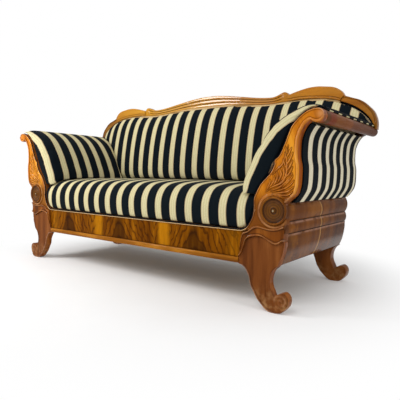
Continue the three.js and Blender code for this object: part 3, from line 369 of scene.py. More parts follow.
# %% The walnut recipe
def walnut(name, dark, middle, light, turn=(0, 0, 0), streaks=22.0, waves=0.3, polish=0.28, coat=0.04,
           shine=0.7, spec=0.06, worn_and_highlight=srgb(226, 164, 100), inlays=None, extra=None):
    """Walnut with colours by the figure, darker in the pores, darker in hollows and groove marks as dirt
    and painted shade, and lighter on the rims as wear and painted highlight, where the polish also shines
    more. turn, in degrees, lays the grain another way. inlays(tree, place, grain, colour) gives a new
    colour, and extra(tree, place) adds polish. With the rims' colour None the wood has neither wear,
    painted shade and highlight, nor polish."""
    material, tree, shader = new_material(name)
    place = node(tree, "TexCoord").outputs["Object"]
    angles = tuple(math.radians(a) for a in turn)
    turned = node(tree, "Mapping", {"Vector": place, "Rotation": angles}).outputs[0]
    grain = node(tree, "Group", {"Vector": turned}, node_tree=GRAIN)
    grain.inputs["Streaks"].default_value = streaks
    grain.inputs["Waves"].default_value = waves
    colour = ramp(tree, grain.outputs["Figure"], [(0.32, dark), (0.5, middle), (0.68, light)])
    if inlays:
        colour = inlays(tree, place, grain, colour)
    deep = tuple(c * 0.3 for c in dark)
    colour = mix(tree, times(tree, grain.outputs["Pores"], 0.3), colour, deep)
    if worn_and_highlight:
        wear_and_light = node(tree, "Group", {"Vector": turned}, node_tree=WEAR_AND_LIGHT)
        # Dirt and painted shade in hollows and groove marks.
        colour = mix(tree, times(tree, wear_and_light.outputs["DirtAndShade"], 0.92), colour, deep)
        # Wear and painted highlight on edges and rim marks.
        colour = mix(tree, times(tree, wear_and_light.outputs["Edge"], 0.5), colour, worn_and_highlight)
        gloss = maths(tree, "MULTIPLY_ADD", wear_and_light.outputs["Shine"], shine, coat, clamp=True)
        if extra:
            gloss = maths(tree, "ADD", extra(tree, place), gloss, clamp=True)
        tree.links.new(gloss, shader.inputs["Coat Weight"])
    tree.links.new(colour, shader.inputs["Base Color"])
    rough = maths(tree, "ADD", polish, times(tree, grain.outputs["Pores"], 0.2))
    tree.links.new(rough, shader.inputs["Roughness"])
    bump = node(tree, "Bump", {"Height": grain.outputs["Height"], "Strength": 0.08, "Distance": 0.0005})
    tree.links.new(bump.outputs[0], shader.inputs["Normal"])
    shader.inputs["Coat Roughness"].default_value = 0.06
    shader.inputs["Specular IOR Level"].default_value = spec
    return material


POST = walnut("walnut_post", srgb(44, 24, 12), srgb(66, 36, 18), srgb(86, 48, 26))
BEAD = walnut("walnut_bead", srgb(112, 62, 8), srgb(146, 88, 18), srgb(178, 116, 34), turn=(0, 90, 0),
              streaks=20.0, shine=0.9, spec=0.04)
ARCH = walnut("walnut_arch", srgb(88, 44, 10), srgb(118, 62, 16), srgb(144, 82, 26), streaks=18.0,
              waves=0.1, coat=0.02, shine=0.5, spec=0.04)
print("walnuts", [m.name for m in bpy.data.materials if m.name.startswith("walnut")])

# %% [markdown]
# ### Facings
# The facings are amber at the scroll and brown at their foot. The height above the floor decides, and a
# cloud moves the border, so that it isn't a straight line. The sawn sides of the boards are redder, darker,
# partly as painted shade, and duller.

# %% Facing wood
def foot_darkens(tree, place, grain, colour):
    """Brown below 450 mm, the plank's own colour above 570 mm, with the height raised by 90 mm times a
    cloud."""
    z = node(tree, "SeparateXYZ", {0: place}).outputs[2]
    level = maths(tree, "MULTIPLY_ADD", clouds(tree, place, 12.0, 3.0), 90 * MM, z)
    low = smoothstep(tree, 570 * MM, 450 * MM, level)
    return mix(tree, times(tree, low, 0.85), colour, srgb(112, 62, 20))


FACING = walnut("walnut_facing", srgb(160, 86, 10), srgb(200, 118, 22), srgb(230, 154, 42), turn=(0, 20, 0),
                streaks=15.0, waves=0.1, coat=0.02, spec=0.04, inlays=foot_darkens)
# The sides' darker colour is partly painted shade.
FACING_EDGE = walnut("walnut_facing_edge", srgb(120, 54, 8), srgb(156, 78, 14), srgb(180, 98, 24),
                     streaks=26.0, coat=0.0, shine=0.05, spec=0.02, inlays=foot_darkens)
print("facing", FACING.name, "sides", FACING_EDGE.name)

# %% [markdown]
# ### Legs
# Near the floor the polish has gone in patches. Such wear fades out with height, so it is a smooth step
# in z times a step in a cloud, and the colour that shows there is that of dry, pale wood.

# %% Leg wood
def worn_toes(tree, place, grain, colour):
    """Pale bare wood in patches, in full below 20 mm and none above 120 mm."""
    z = node(tree, "SeparateXYZ", {0: place}).outputs[2]
    low = smoothstep(tree, 120 * MM, 20 * MM, z)
    patches = smoothstep(tree, 0.4, 0.7, clouds(tree, place, 30.0, 5.0, 0.65))
    bare = times(tree, low, patches)
    return mix(tree, times(tree, bare, 0.6), colour, srgb(184, 140, 92))


LEG = walnut("walnut_leg", srgb(96, 50, 18), srgb(118, 65, 26), srgb(136, 80, 36), streaks=20.0, waves=0.1,
             coat=0.02, shine=0.4, spec=0.04, worn_and_highlight=srgb(214, 160, 122), inlays=worn_toes)
LEG_EDGE = walnut("walnut_leg_edge", srgb(100, 48, 12), srgb(130, 68, 20), srgb(152, 86, 30), streaks=26.0,
                  coat=0.02, shine=0.2, spec=0.04, inlays=worn_toes)
print("leg", LEG.name, "sides", LEG_EDGE.name)

# %% [markdown]
# ### The apron's veneer
# The apron is covered with leaves of one log, opened like a book, so that dark flames and golden strips
# alternate along it. They have places of their own, which a general figure can't give, so they are laid
# in by their distance from known middles.

# %% Apron wood
FLAMES = (-508, -62, 444)  # middles of the dark flames, in mm
FLAME_HALF = 56 * MM
FLAME_Z = 262 * MM  # the apron's middle height
FLAME_PERIOD = 2.2  # from one dark line of a flame to the next
GOLDEN = ((-636, 40, 0.25), (-232, 42, 0.9), (252, 46, 1.0), (655, 60, 0.2))  # middle, half width, strength


def flames(tree, place, grain, colour):
    """Brown leaves with a dark flame in some and golden strips at the joints. With p the distance from
    the nearest flame's middle, moved by a cloud, and h the height, a flame is dark where p + 0.4 h is
    small, and a dark line comes whenever 30 h + 70 sqrt(p^2 + (30 mm)^2) has grown by FLAME_PERIOD."""
    parts = node(tree, "SeparateXYZ", {0: place})
    flat = node(tree, "Mapping", {"Vector": place, "Scale": (1.0, 1.0, 0.5)}).outputs[0]
    cloud = clouds(tree, flat, 13.0, 5.0, 0.6)
    drift = times(tree, maths(tree, "SUBTRACT", cloud, 0.5), 110 * MM)
    x = maths(tree, "ADD", parts.outputs[0], drift)
    rise = maths(tree, "SUBTRACT", parts.outputs[2], FLAME_Z)
    p = maths(tree, "ABSOLUTE", maths(tree, "SUBTRACT", x, FLAMES[0] * MM))
    for middle in FLAMES[1:]:
        p = maths(tree, "MINIMUM", p, maths(tree, "ABSOLUTE", maths(tree, "SUBTRACT", x, middle * MM)))
    rounded = maths(tree, "SQRT", maths(tree, "MULTIPLY_ADD", p, p, (30 * MM) ** 2))
    turns = maths(tree, "MULTIPLY_ADD", rounded, 70.0, times(tree, rise, 30.0))
    wave = maths(tree, "SINE", times(tree, turns, TURN / FLAME_PERIOD))
    ring = maths(tree, "MULTIPLY_ADD", wave, 0.5, 0.5)
    lines = times(tree, maths(tree, "POWER", ring, 5.0), 0.75)
    colour = mix(tree, lines, colour, srgb(56, 27, 5))
    reach = maths(tree, "MULTIPLY_ADD", rise, 0.4, p)
    dark = times(tree, smoothstep(tree, FLAME_HALF, 12 * MM, reach), 0.72)
    colour = mix(tree, dark, colour, srgb(46, 22, 5))
    calm = maths(tree, "MULTIPLY_ADD", drift, 0.25, parts.outputs[0])
    fine = maths(tree, "MULTIPLY_ADD", grain.outputs["Figure"], 0.9, 0.35)
    for middle, half, strength in GOLDEN:
        strip = times(tree, bump_at(tree, calm, middle * MM, half * MM), strength)
        colour = mix(tree, maths(tree, "MULTIPLY", strip, fine, clamp=True), colour, srgb(192, 124, 12))
    return colour


APRON = walnut("walnut_apron", srgb(88, 44, 2), srgb(122, 68, 3), srgb(150, 90, 6), streaks=20.0,
               waves=0.15, coat=0.0, shine=0.3, spec=0.02, worn_and_highlight=srgb(214, 170, 120), inlays=flames)
print("apron", APRON.name, "flames", len(FLAMES), "golden strips", len(GOLDEN))

# %% [markdown]
# ### The sides
# The panels and mouldings of the sides are veneered in two leaves. Where these meet, a strip of pale
# sapwood runs up all three, slightly bowed. The panel's belly, which nobody touches, has kept its polish.

# %% Side wood
SAPWOOD_Y = 17 * MM
SAPWOOD_Z = 0.3  # the height at which the bow comes furthest back


def sapwood_and_rear_shade(tree, place, grain, colour):
    """A pale strip at y = SAPWOOD_Y - 1.6 (z - SAPWOOD_Z)^2 with a dark line behind it. In front of it the
    wood is amber in patches, behind it dark, and it darkens further towards the rear; this darkening is
    painted shade."""
    parts = node(tree, "SeparateXYZ", {0: place})
    cloud = clouds(tree, place, 9.0, 3.0)
    depth = maths(tree, "MULTIPLY_ADD", maths(tree, "SUBTRACT", cloud, 0.5), 0.35, parts.outputs[1])
    amber = times(tree, smoothstep(tree, 0.5, 0.62, cloud), 0.5)
    colour = mix(tree, amber, colour, srgb(160, 98, 26))
    # Painted shade: darker towards the rear.
    rear = times(tree, smoothstep(tree, -0.02, 0.3, depth), 0.7)
    colour = mix(tree, rear, colour, srgb(66, 34, 16))
    up = maths(tree, "SUBTRACT", parts.outputs[2], SAPWOOD_Z)
    bow = times(tree, times(tree, up, up), -1.6)
    from_strip = maths(tree, "SUBTRACT", parts.outputs[1], maths(tree, "ADD", bow, SAPWOOD_Y))
    shadow = times(tree, bump_at(tree, from_strip, 9 * MM, 10 * MM), 0.6)
    colour = mix(tree, shadow, colour, srgb(62, 32, 14))
    return mix(tree, bump_at(tree, from_strip, 0.0, 10 * MM), colour, srgb(172, 122, 62))


def belly_polish(tree, place):
    """0.4 more polish below 226 mm, none above 262 mm."""
    low = smoothstep(tree, 262 * MM, 226 * MM, node(tree, "SeparateXYZ", {0: place}).outputs[2])
    return times(tree, low, 0.4)


# On the sides the pale mauve grey of the rim marks paints the room's reflection on each moulding's
# shoulder; on edges it is wear.
SIDE = walnut("walnut_side", srgb(76, 36, 4), srgb(103, 54, 6), srgb(126, 71, 10), streaks=10.0, waves=0.12,
              polish=0.2, coat=0.0, shine=0.05, spec=0.02, worn_and_highlight=srgb(196, 148, 124), inlays=sapwood_and_rear_shade,
              extra=belly_polish)
MOULDING = walnut("walnut_moulding", srgb(78, 38, 6), srgb(106, 56, 9), srgb(128, 72, 14), streaks=10.0,
                  waves=0.12, coat=0.0, shine=0.06, spec=0.02, worn_and_highlight=srgb(196, 148, 124), inlays=sapwood_and_rear_shade)
print("side", SIDE.name, "mouldings", MOULDING.name)

# %% [markdown]
# ### The crest
# The crest is the best lit and the most golden of all, and its tone changes over its length. A ramp over
# x says how, and most of it goes into the colour. Its reeds have kept their polish, except near the
# knobs.

# %% Crest wood
CREST_HALF = 1.031  # half the length of the crest


def crest_tones(tree, place, grain, colour):
    """The long crest rail goes from dark at its left shoulder through gold to amber at its right end."""
    x = node(tree, "SeparateXYZ", {0: place}).outputs[0]
    share = maths(tree, "MULTIPLY_ADD", x, 1 / (2 * CREST_HALF), 0.5)
    tones = ramp(tree, share, [
        (0.0, srgb(88, 50, 16)), (0.07, srgb(104, 60, 18)), (0.1, srgb(184, 124, 34)),
        (0.16, srgb(198, 138, 36)), (0.3, srgb(206, 150, 46)), (0.46, srgb(206, 150, 48)),
        (0.54, srgb(196, 136, 36)),
        (0.64, srgb(168, 106, 22)), (0.76, srgb(158, 94, 14)), (0.84, srgb(178, 106, 16)),
        (0.91, srgb(158, 92, 16)), (1.0, srgb(128, 74, 18))])
    return mix(tree, 0.7, colour, tones)


def crest_polish(tree, place):
    """0.9 more polish where |x| is under 430 mm, none beyond 500 mm."""
    x = node(tree, "SeparateXYZ", {0: place}).outputs[0]
    inner = smoothstep(tree, 500 * MM, 430 * MM, maths(tree, "ABSOLUTE", x))
    return times(tree, inner, 0.9)


GOLD = (srgb(146, 86, 14), srgb(188, 124, 28), srgb(216, 154, 52))
CREST = walnut("walnut_crest", *GOLD, turn=(0, 90, 0), streaks=16.0, waves=0.1, coat=0.12, shine=0.1,
               polish=0.2, inlays=crest_tones, extra=crest_polish)
SHELL = walnut("walnut_shell", *GOLD, turn=(0, 90, 0), streaks=16.0, waves=0.1, coat=0.15, shine=0.4,
               inlays=crest_tones)
print("crest", CREST.name, "shells", SHELL.name)

# %% [markdown]
# ### Turned pieces
# On the lathe the wood was stained and polished in rings. On a rosette the tone follows the distance from
# the axis, and along a roll it changes from one length to the next. Both are ramps over a share from 0 to
# 1.

# %% Turned wood
DISC_RADIUS = 48 * MM


def turned_rings(tree, place, grain, colour):
    """The rosette's disc: a button painted near white as a painted highlight, ochre round it, and darker
    rings towards the rim. The distance from the axis is sqrt((|x| - ROSETTE_X)^2 + (z - ROSETTE_Z)^2),
    which serves both ends."""
    parts = node(tree, "SeparateXYZ", {0: place})
    x = maths(tree, "SUBTRACT", maths(tree, "ABSOLUTE", parts.outputs[0]), ROSETTE_X)
    z = maths(tree, "SUBTRACT", parts.outputs[2], ROSETTE_Z)
    squares = maths(tree, "ADD", times(tree, x, x), times(tree, z, z))
    share = maths(tree, "DIVIDE", maths(tree, "SQRT", squares), DISC_RADIUS)
    # The first stop, near white, is a painted highlight on the button.
    disc = ramp(tree, share, [
        (0.06, srgb(236, 214, 170)), (0.1, srgb(130, 82, 28)), (0.24, srgb(64, 36, 12)),
        (0.32, srgb(122, 74, 22)), (0.55, srgb(112, 68, 20)), (0.8, srgb(100, 60, 24)),
        (0.92, srgb(80, 46, 22)), (1.0, srgb(40, 22, 12))])
    wave = maths(tree, "SINE", times(tree, share, 30.0))
    rings = times(tree, maths(tree, "MULTIPLY_ADD", wave, 0.5, 0.5), 0.45)
    return mix(tree, 0.2, mix(tree, rings, disc, srgb(48, 26, 10)), colour)


def roll_bands(tree, place, grain, colour):
    """The roll's lengths differ in colour from front to rear: olive, red, golden brown, and mauve
    brown."""
    y = node(tree, "SeparateXYZ", {0: place}).outputs[1]
    share = maths(tree, "DIVIDE", maths(tree, "SUBTRACT", y, BODY_FRONT), REAR - BODY_FRONT)
    bands = ramp(tree, share, [
        (0.0, srgb(88, 58, 24)), (0.04, srgb(84, 52, 22)), (0.07, srgb(122, 46, 26)),
        (0.13, srgb(126, 54, 26)), (0.17, srgb(136, 80, 34)), (0.42, srgb(134, 76, 36)),
        (0.46, srgb(104, 60, 42)),
        (0.72, srgb(82, 48, 36)), (0.9, srgb(66, 36, 26))])
    return mix(tree, 0.35, bands, colour)


RING_WOOD = walnut("walnut_ring", srgb(88, 46, 10), srgb(120, 68, 18), srgb(144, 88, 28), streaks=18.0,
                   waves=0.1, coat=0.02, shine=0.4)
ROSETTE = walnut("walnut_rosette", srgb(58, 30, 8), srgb(96, 56, 16), srgb(130, 82, 26), streaks=14.0,
                 waves=0.1, shine=0.3, inlays=turned_rings)
ROLL = walnut("walnut_roll", srgb(88, 46, 20), srgb(116, 66, 32), srgb(138, 86, 50), turn=(90, 0, 0),
              streaks=30.0, waves=0.1, coat=0.0, shine=0.15, spec=0.01, inlays=roll_bands)
print("turned", RING_WOOD.name, ROSETTE.name, ROLL.name)

# %% [markdown]
# ### Unpolished wood
# The frame inside is bare sawn softwood. The rail that closes the rear below is walnut, stained but not
# polished. Both are the same recipe without wear.

# %% Softwood and rail
PINE = walnut("bare_softwood", srgb(160, 124, 74), srgb(196, 160, 106), srgb(214, 182, 132),
              turn=(0, 90, 0), streaks=40.0, waves=0.9, polish=0.6, worn_and_highlight=None)
RAIL = walnut("walnut_rail", srgb(50, 28, 14), srgb(74, 42, 22), srgb(92, 56, 32), turn=(0, 90, 0),
              streaks=20.0, waves=0.1, worn_and_highlight=None)
print("woods", len(bpy.data.materials))

# %% [markdown]
# ## Cloth
# The covers are woven. At this size a single thread hardly shows, but it breaks up the light, and the
# yarn is uneven. Two crossed sine waves give the threads, and a cloud gives the slubs.

# %% Weave
def woven_threads():
    """Thread: 0.5 + 0.5 sin(warp) sin(weft), 0 to 1 over one thread and the next. Slub: unevenness of the
    yarn."""
    tree, start, end = group(
        "weave", [("Vector", "NodeSocketVector", None), ("Threads", "NodeSocketFloat", 900.0)],
        ["Thread", "Slub"])
    vector = start.outputs["Vector"]
    parts = node(tree, "SeparateXYZ", {0: vector})
    pace = times(tree, start.outputs["Threads"], TURN)
    across = maths(tree, "ADD", parts.outputs[0], parts.outputs[1])
    warp = maths(tree, "SINE", times(tree, across, pace))
    height = maths(tree, "ADD", parts.outputs[2], times(tree, parts.outputs[1], 0.7))
    weft = maths(tree, "SINE", times(tree, height, pace))
    thread = maths(tree, "ADD", times(tree, times(tree, warp, weft), 0.5), 0.5)
    tree.links.new(thread, end.inputs["Thread"])
    tree.links.new(clouds(tree, vector, 160.0, 4.0), end.inputs["Slub"])
    return tree


WEAVE = woven_threads()
print("group", WEAVE.name)

# %% [markdown]
# ### Covers, pipings and canvas
# The cover is striped in cream and near-black navy, with a thin tan line at each edge of the cream. A
# stripe follows the cloth, not space, so it reads a UV map that counts stripes. All other cloths are
# plain.

# %% Covers, pipings and canvas
LIGHT_SHARE = 0.43  # of the stripes' pitch, taken by the light stripe
EDGE_LINE = (0.42, 0.26, 0.14)
INNER_LINE = srgb(176, 160, 100)  # fainter lines inside the light stripe


def cloth(name, dark, light, stripes=False, threads=900.0):
    """Cloth of two shades. Without stripes the weave alone moves between them. With stripes UV u counts
    pitches, of which each is light up to LIGHT_SHARE and then dark."""
    material, tree, shader = new_material(name)
    coordinates = node(tree, "TexCoord")
    weave = node(tree, "Group", {"Vector": coordinates.outputs["Object"]}, node_tree=WEAVE)
    weave.inputs["Threads"].default_value = threads
    if stripes:
        u = node(tree, "SeparateXYZ", {0: coordinates.outputs["UV"]}).outputs[0]
        middle = LIGHT_SHARE / 2
        off = maths(tree, "ABSOLUTE", maths(tree, "SUBTRACT", maths(tree, "FRACT", u), middle))
        inside = smoothstep(tree, middle + 0.012, middle - 0.012, off)
        rim = times(tree, smoothstep(tree, middle - 0.06, middle - 0.01, off), inside)
        inner = bump_at(tree, off, LIGHT_SHARE * 0.17, 0.028)
        tint = mix(tree, times(tree, inner, 0.4), light, INNER_LINE)
        tint = mix(tree, times(tree, rim, 0.75), tint, EDGE_LINE)
        colour = mix(tree, inside, dark, tint)
    else:
        colour = mix(tree, weave.outputs["Thread"], dark, light)
    slub = maths(tree, "ADD", 0.82, times(tree, weave.outputs["Slub"], 0.34))
    thread = maths(tree, "ADD", 0.93, times(tree, weave.outputs["Thread"], 0.14))
    shade = times(tree, slub, thread)
    grey = node(tree, "CombineColor", {0: shade, 1: shade, 2: shade}).outputs[0]
    tree.links.new(mix(tree, 1.0, colour, grey, "MULTIPLY"), shader.inputs["Base Color"])
    shader.inputs["Roughness"].default_value = 0.9
    shader.inputs["Specular IOR Level"].default_value = 0.08
    shader.inputs["Sheen Weight"].default_value = 0.01
    bump = node(tree, "Bump", {"Height": weave.outputs["Thread"], "Strength": 0.35, "Distance": 0.0004})
    tree.links.new(bump.outputs[0], shader.inputs["Normal"])
    return material


NAVY, CREAM = srgb(7, 16, 22), srgb(210, 201, 158)
LIT_CREAM = srgb(242, 234, 206)  # a lighter copy of the cream for the outside of the arms: painted light
STRIPED = cloth("cloth_striped", NAVY, CREAM, stripes=True)
STRIPED_LIT = cloth("cloth_striped_lit_outside", NAVY, LIT_CREAM, stripes=True)
PLAIN = cloth("cloth_navy", srgb(6, 12, 18), srgb(16, 24, 36))
PIPING = cloth("piping_black", srgb(8, 9, 12), srgb(22, 24, 30))
GIMP = cloth("gimp_gold", srgb(196, 152, 96), srgb(236, 204, 154), threads=1500.0)
CANVAS = cloth("canvas_raw", (0.32, 0.24, 0.13), (0.5, 0.4, 0.25), threads=500.0)
JUTE = cloth("jute_webbing", (0.22, 0.14, 0.06), (0.42, 0.3, 0.16), threads=330.0)
print("cloths ready, materials", len(bpy.data.materials))

# %% [markdown]
# ## The end boards
# Each end of the settee is sawn from thick plank: a leg, an arch moulding above it, and the big scroll of
# the arm facing. All three are drawn the same way. A row of stations gives one point on the inner edge
# and its partner on the outer edge, and the board is stretched between them, so that grain, beads and
# carving can follow its sweep.

# %% Stations of the end boards
FACING_STATIONS = [  # inner x and z, outer x and z, in mm
    (707, 319, 707, 317), (726, 343, 736, 324), (739, 367, 770, 338), (746, 387, 815, 332),
    (749, 418, 883, 347), (748, 445, 888, 394), (754, 465, 884, 431), (774, 504, 921, 469),
    (790, 523, 931, 487), (819, 553, 936, 513), (836, 585, 938, 556), (837, 603, 937, 584),
    (851, 616, 932, 608), (862, 631, 930, 636), (882, 676, 932, 680), (898, 718, 940, 707),
    (910, 739, 947, 721), (925, 755, 956, 735), (943, 771, 968, 746), (963, 784, 980, 751),
    (984, 791, 991, 744), (1003, 793, 1003, 741), (1014, 791, 1014, 743), (1022, 785, 1022, 749),
    (1027, 776, 1027, 757), (1029, 767, 1029, 767)]
LEG_STATIONS = [
    (680.3, 203, 680.3, 203.6), (680.3, 190, 695, 221), (680.3, 177, 706, 250), (697, 171, 713, 272),
    (709, 164, 725, 287), (716, 156, 744, 294), (723, 146, 771, 299), (729, 135, 809, 289),
    (734, 123, 846, 272), (736, 110, 883, 287), (739, 96, 880, 245), (742, 90, 871, 216),
    (746, 84, 859, 188), (752, 74, 843, 174), (758, 64, 832, 154), (765, 53, 826, 128),
    (772, 42, 828, 104), (780, 34, 838, 81), (787, 27, 847, 64.5), (797, 18, 856, 72),
    (806, 10, 869, 80), (816, 4.5, 885, 85), (827, 0, 898, 80), (838, 0, 907, 68), (852, 0, 909, 52),
    (876, 4, 904, 33), (889, 14, 893, 19)]
ARCH_STATIONS = [
    (681, 205, 688, 241), (695, 222, 693, 277), (706, 251, 699, 305), (713, 273, 708, 312),
    (725, 288, 726, 319), (744, 295, 736, 328), (771, 300, 751, 338), (790, 298, 770, 342),
    (809, 290, 789, 340), (831, 279, 815, 336), (846, 273, 841, 336), (861, 275, 862, 340),
    (874, 284, 876, 346), (884, 288, 885, 350)]


def stations(table, steps=10):
    """Left and right lines of a board, smooth through its stations, in metres."""
    line = spline(np.array(table, float) * MM, steps)
    return line[:, :2], line[:, 2:]


print("stations", len(FACING_STATIONS), len(LEG_STATIONS), len(ARCH_STATIONS))

# %% [markdown]
# ### Boards between two lines
# A board's face is a fine grid, because its relief is part of the mesh: beads and carving of some
# millimetres catch the light on their ridges, which a bump map can't show at an edge. Only the face needs
# it, so the rear is coarse.

# %% Boards
def at_depth(flat, y):
    """Points x, z of a flat drawing, set at the depth y."""
    return np.stack([flat[:, 0], np.full(len(flat), y), flat[:, 1]], -1)


def band(left, right, front, rear, relief=None, across=30, edge=2.5 * MM):
    """Grid of a board between two lines left(t) and right(t) in the XZ plane, and its marks. A section's
    front runs straight from left to right, with points closer together near its edges; there it is rounded
    by a quarter circle of radius edge. relief(x, z, d_left, d_right) gives the height that lifts it towards
    -Y and the marks groove, 0 to 1 in carved hollows, which the wood darkens as dirt and painted shade, and
    rim, 0 to 1 on polished ridges, which the wood lightens as wear and painted highlight. The section then
    returns along the rear."""
    u = 0.5 - 0.5 * np.cos(np.linspace(0, np.pi, across))
    flat = left[:, None, :] + (right - left)[:, None, :] * u[None, :, None]
    width = np.linalg.norm(right - left, axis=1)[:, None]
    d_left, d_right = u * width, (1 - u) * width
    short = np.clip(edge - np.minimum(d_left, d_right), 0, edge)
    y = front + edge - np.sqrt(edge**2 - short**2)
    groove, rim = np.zeros(y.shape), np.zeros(y.shape)
    if relief is not None:
        lift, groove, rim = relief(flat[..., 0], flat[..., 1], d_left, d_right)
        y = y - lift
    face = np.stack([flat[..., 0], y, flat[..., 1]], -1)
    inset = np.minimum(edge / np.maximum(width, 1e-9), 0.5)

    def back(share, depth):
        return at_depth(left + (right - left) * share, depth)[:, None]

    rear_points = [back(1, rear - edge), back(1 - inset, rear), back(inset, rear), back(0, rear - edge)]
    blank = np.zeros((len(left), len(rear_points)))
    marks = {"groove": np.hstack([groove, blank]), "rim": np.hstack([rim, blank])}
    return np.concatenate([face, *rear_points], axis=1), marks


def board(name, side, left, right, front, rear, relief=None, across=30, edge=2.5 * MM):
    """The band between two lines as a closed piece, for the right end (side 1) or the left one (side
    -1)."""
    grid, marks = band(left, right, front, rear, relief, across, edge)
    return surface(name, mirrored(grid, side), loop=True, caps=True, marks=marks)


print("boards can be made")

# %% [markdown]
# ### Carving
# The facing carries one long leaf that grows from the rosette up to the neck of the scroll. Its ribs are
# the carver's own cuts, so each is a short curve with a width and a height that fade at both ends. A
# point's relief is the highest rib over it.

# %% Ribs of the leaf
LEAF_RIBS = [  # half width, height, curve, all in mm
    (4.2, 3.4, [(801, 479), (826, 498), (847, 507), (868, 518), (882, 538), (888, 561), (889, 587),
                (888, 614), (892, 660)]),
    (3.4, 2.6, [(823, 485), (843, 492), (865, 503), (884, 519), (900, 535), (912, 555)]),
    (3.4, 2.4, [(869, 496), (888, 514), (903, 529), (915, 547)]),
    (3.4, 2.4, [(826, 481), (856, 487), (885, 497), (907, 512), (919, 527)]),
    (4.0, 2.4, [(831, 475), (863, 478), (895, 485), (920, 503)]),
    (4.0, 2.4, [(830, 469), (863, 469), (892, 470), (917, 483)]),
    (3.6, 2.0, [(837, 465), (866, 462), (892, 457), (908, 462)]),
    (3.8, 2.8, [(888, 541), (901, 557), (912, 579)]),
    (3.8, 2.8, [(889, 564), (902, 582), (912, 603)]),
    (3.8, 2.8, [(890, 589), (902, 609), (911, 633)]),
    (3.4, 2.4, [(890, 617), (898, 634), (906, 651)]),
    (3.2, 2.6, [(829, 549), (847, 568), (868, 587), (877, 608), (884, 632)]),
    (4.0, 2.8, [(869, 584), (877, 561), (874, 540), (863, 521)]),
    (4.0, 2.6, [(857, 573), (866, 552), (861, 534), (850, 515)]),
    (4.0, 2.4, [(846, 561), (850, 540), (842, 519), (831, 505)]),
    (4.0, 2.2, [(833, 547), (837, 531), (829, 514), (817, 497)]),
    (3.6, 2.0, [(817, 530), (819, 517), (811, 500), (804, 488)]),
    (3.2, 2.4, [(872, 608), (879, 590), (886, 573)]),
    (3.0, 2.2, [(879, 634), (883, 617), (888, 599)]),
    (2.6, 2.0, [(882, 656), (885, 642), (889, 625)]),
]


def line_mark(distance, middle, width):
    """1 along a line at distance = middle, falling off to both sides as a bell of the given width."""
    return np.exp(-(((distance - middle) / width) ** 2))


def ribs(x, z, curves):
    """Height and cut at x, z. A rib's height is h (1 - (d / w)^2), where d is the distance from its curve,
    and w and h shrink towards its ends as the square root of a sine; the highest rib counts. The cut is 1
    at a rib's foot, where the carver's tool has left a line; as a groove mark it also darkens the colour
    there, painted shade between the ribs."""
    points = np.stack([x, z], -1)
    best, cut = np.zeros(x.shape), np.zeros(x.shape)
    for width, height, curve in curves:
        line = spline(np.array(curve, float) * MM, 8)
        fade = np.sqrt(np.sin(np.linspace(0.12, np.pi - 0.12, len(line))))
        gap = np.linalg.norm(points[..., None, :] - line, axis=-1)
        nearest = gap.argmin(-1)
        reach = np.take_along_axis(gap, nearest[..., None], -1)[..., 0]
        w, h = width * MM * fade[nearest], height * MM * fade[nearest]
        best = np.maximum(best, h * np.clip(1 - (reach / w) ** 2, 0, 1))
        cut = np.maximum(cut, line_mark(reach, w + 0.8 * MM, 1.3 * MM))
    return best, cut * np.clip(1 - best / (1.2 * MM), 0, 1)


print("leaf ribs", len(LEAF_RIBS))

# %% [markdown]
# ### Beads and hollows
# Round the leaf the facing has a bead along its outer edge, a fine lip along its inner one and a crescent
# round the rosette. Each is a formula of the distance from an edge or from the rosette's axis, and the
# highest of them counts, as it would if a carver had left them standing.

# %% Relief of the facing
LEAF_BED_X, LEAF_BED_Z = 880 * MM, 560 * MM  # where the ground under the leaf is deepest
SCROLL_X, SCROLL_Z = 1018 * MM, 772 * MM  # where a painted highlight lies on the scroll's end


def bead(distance, start, width, height):
    """Half-round ridge of the given height between distance = start and start + width, else 0."""
    share = np.clip((distance - start) / width, 0, 1)
    return height * np.sqrt(np.clip(1 - (2 * share - 1) ** 2, 0, 1))


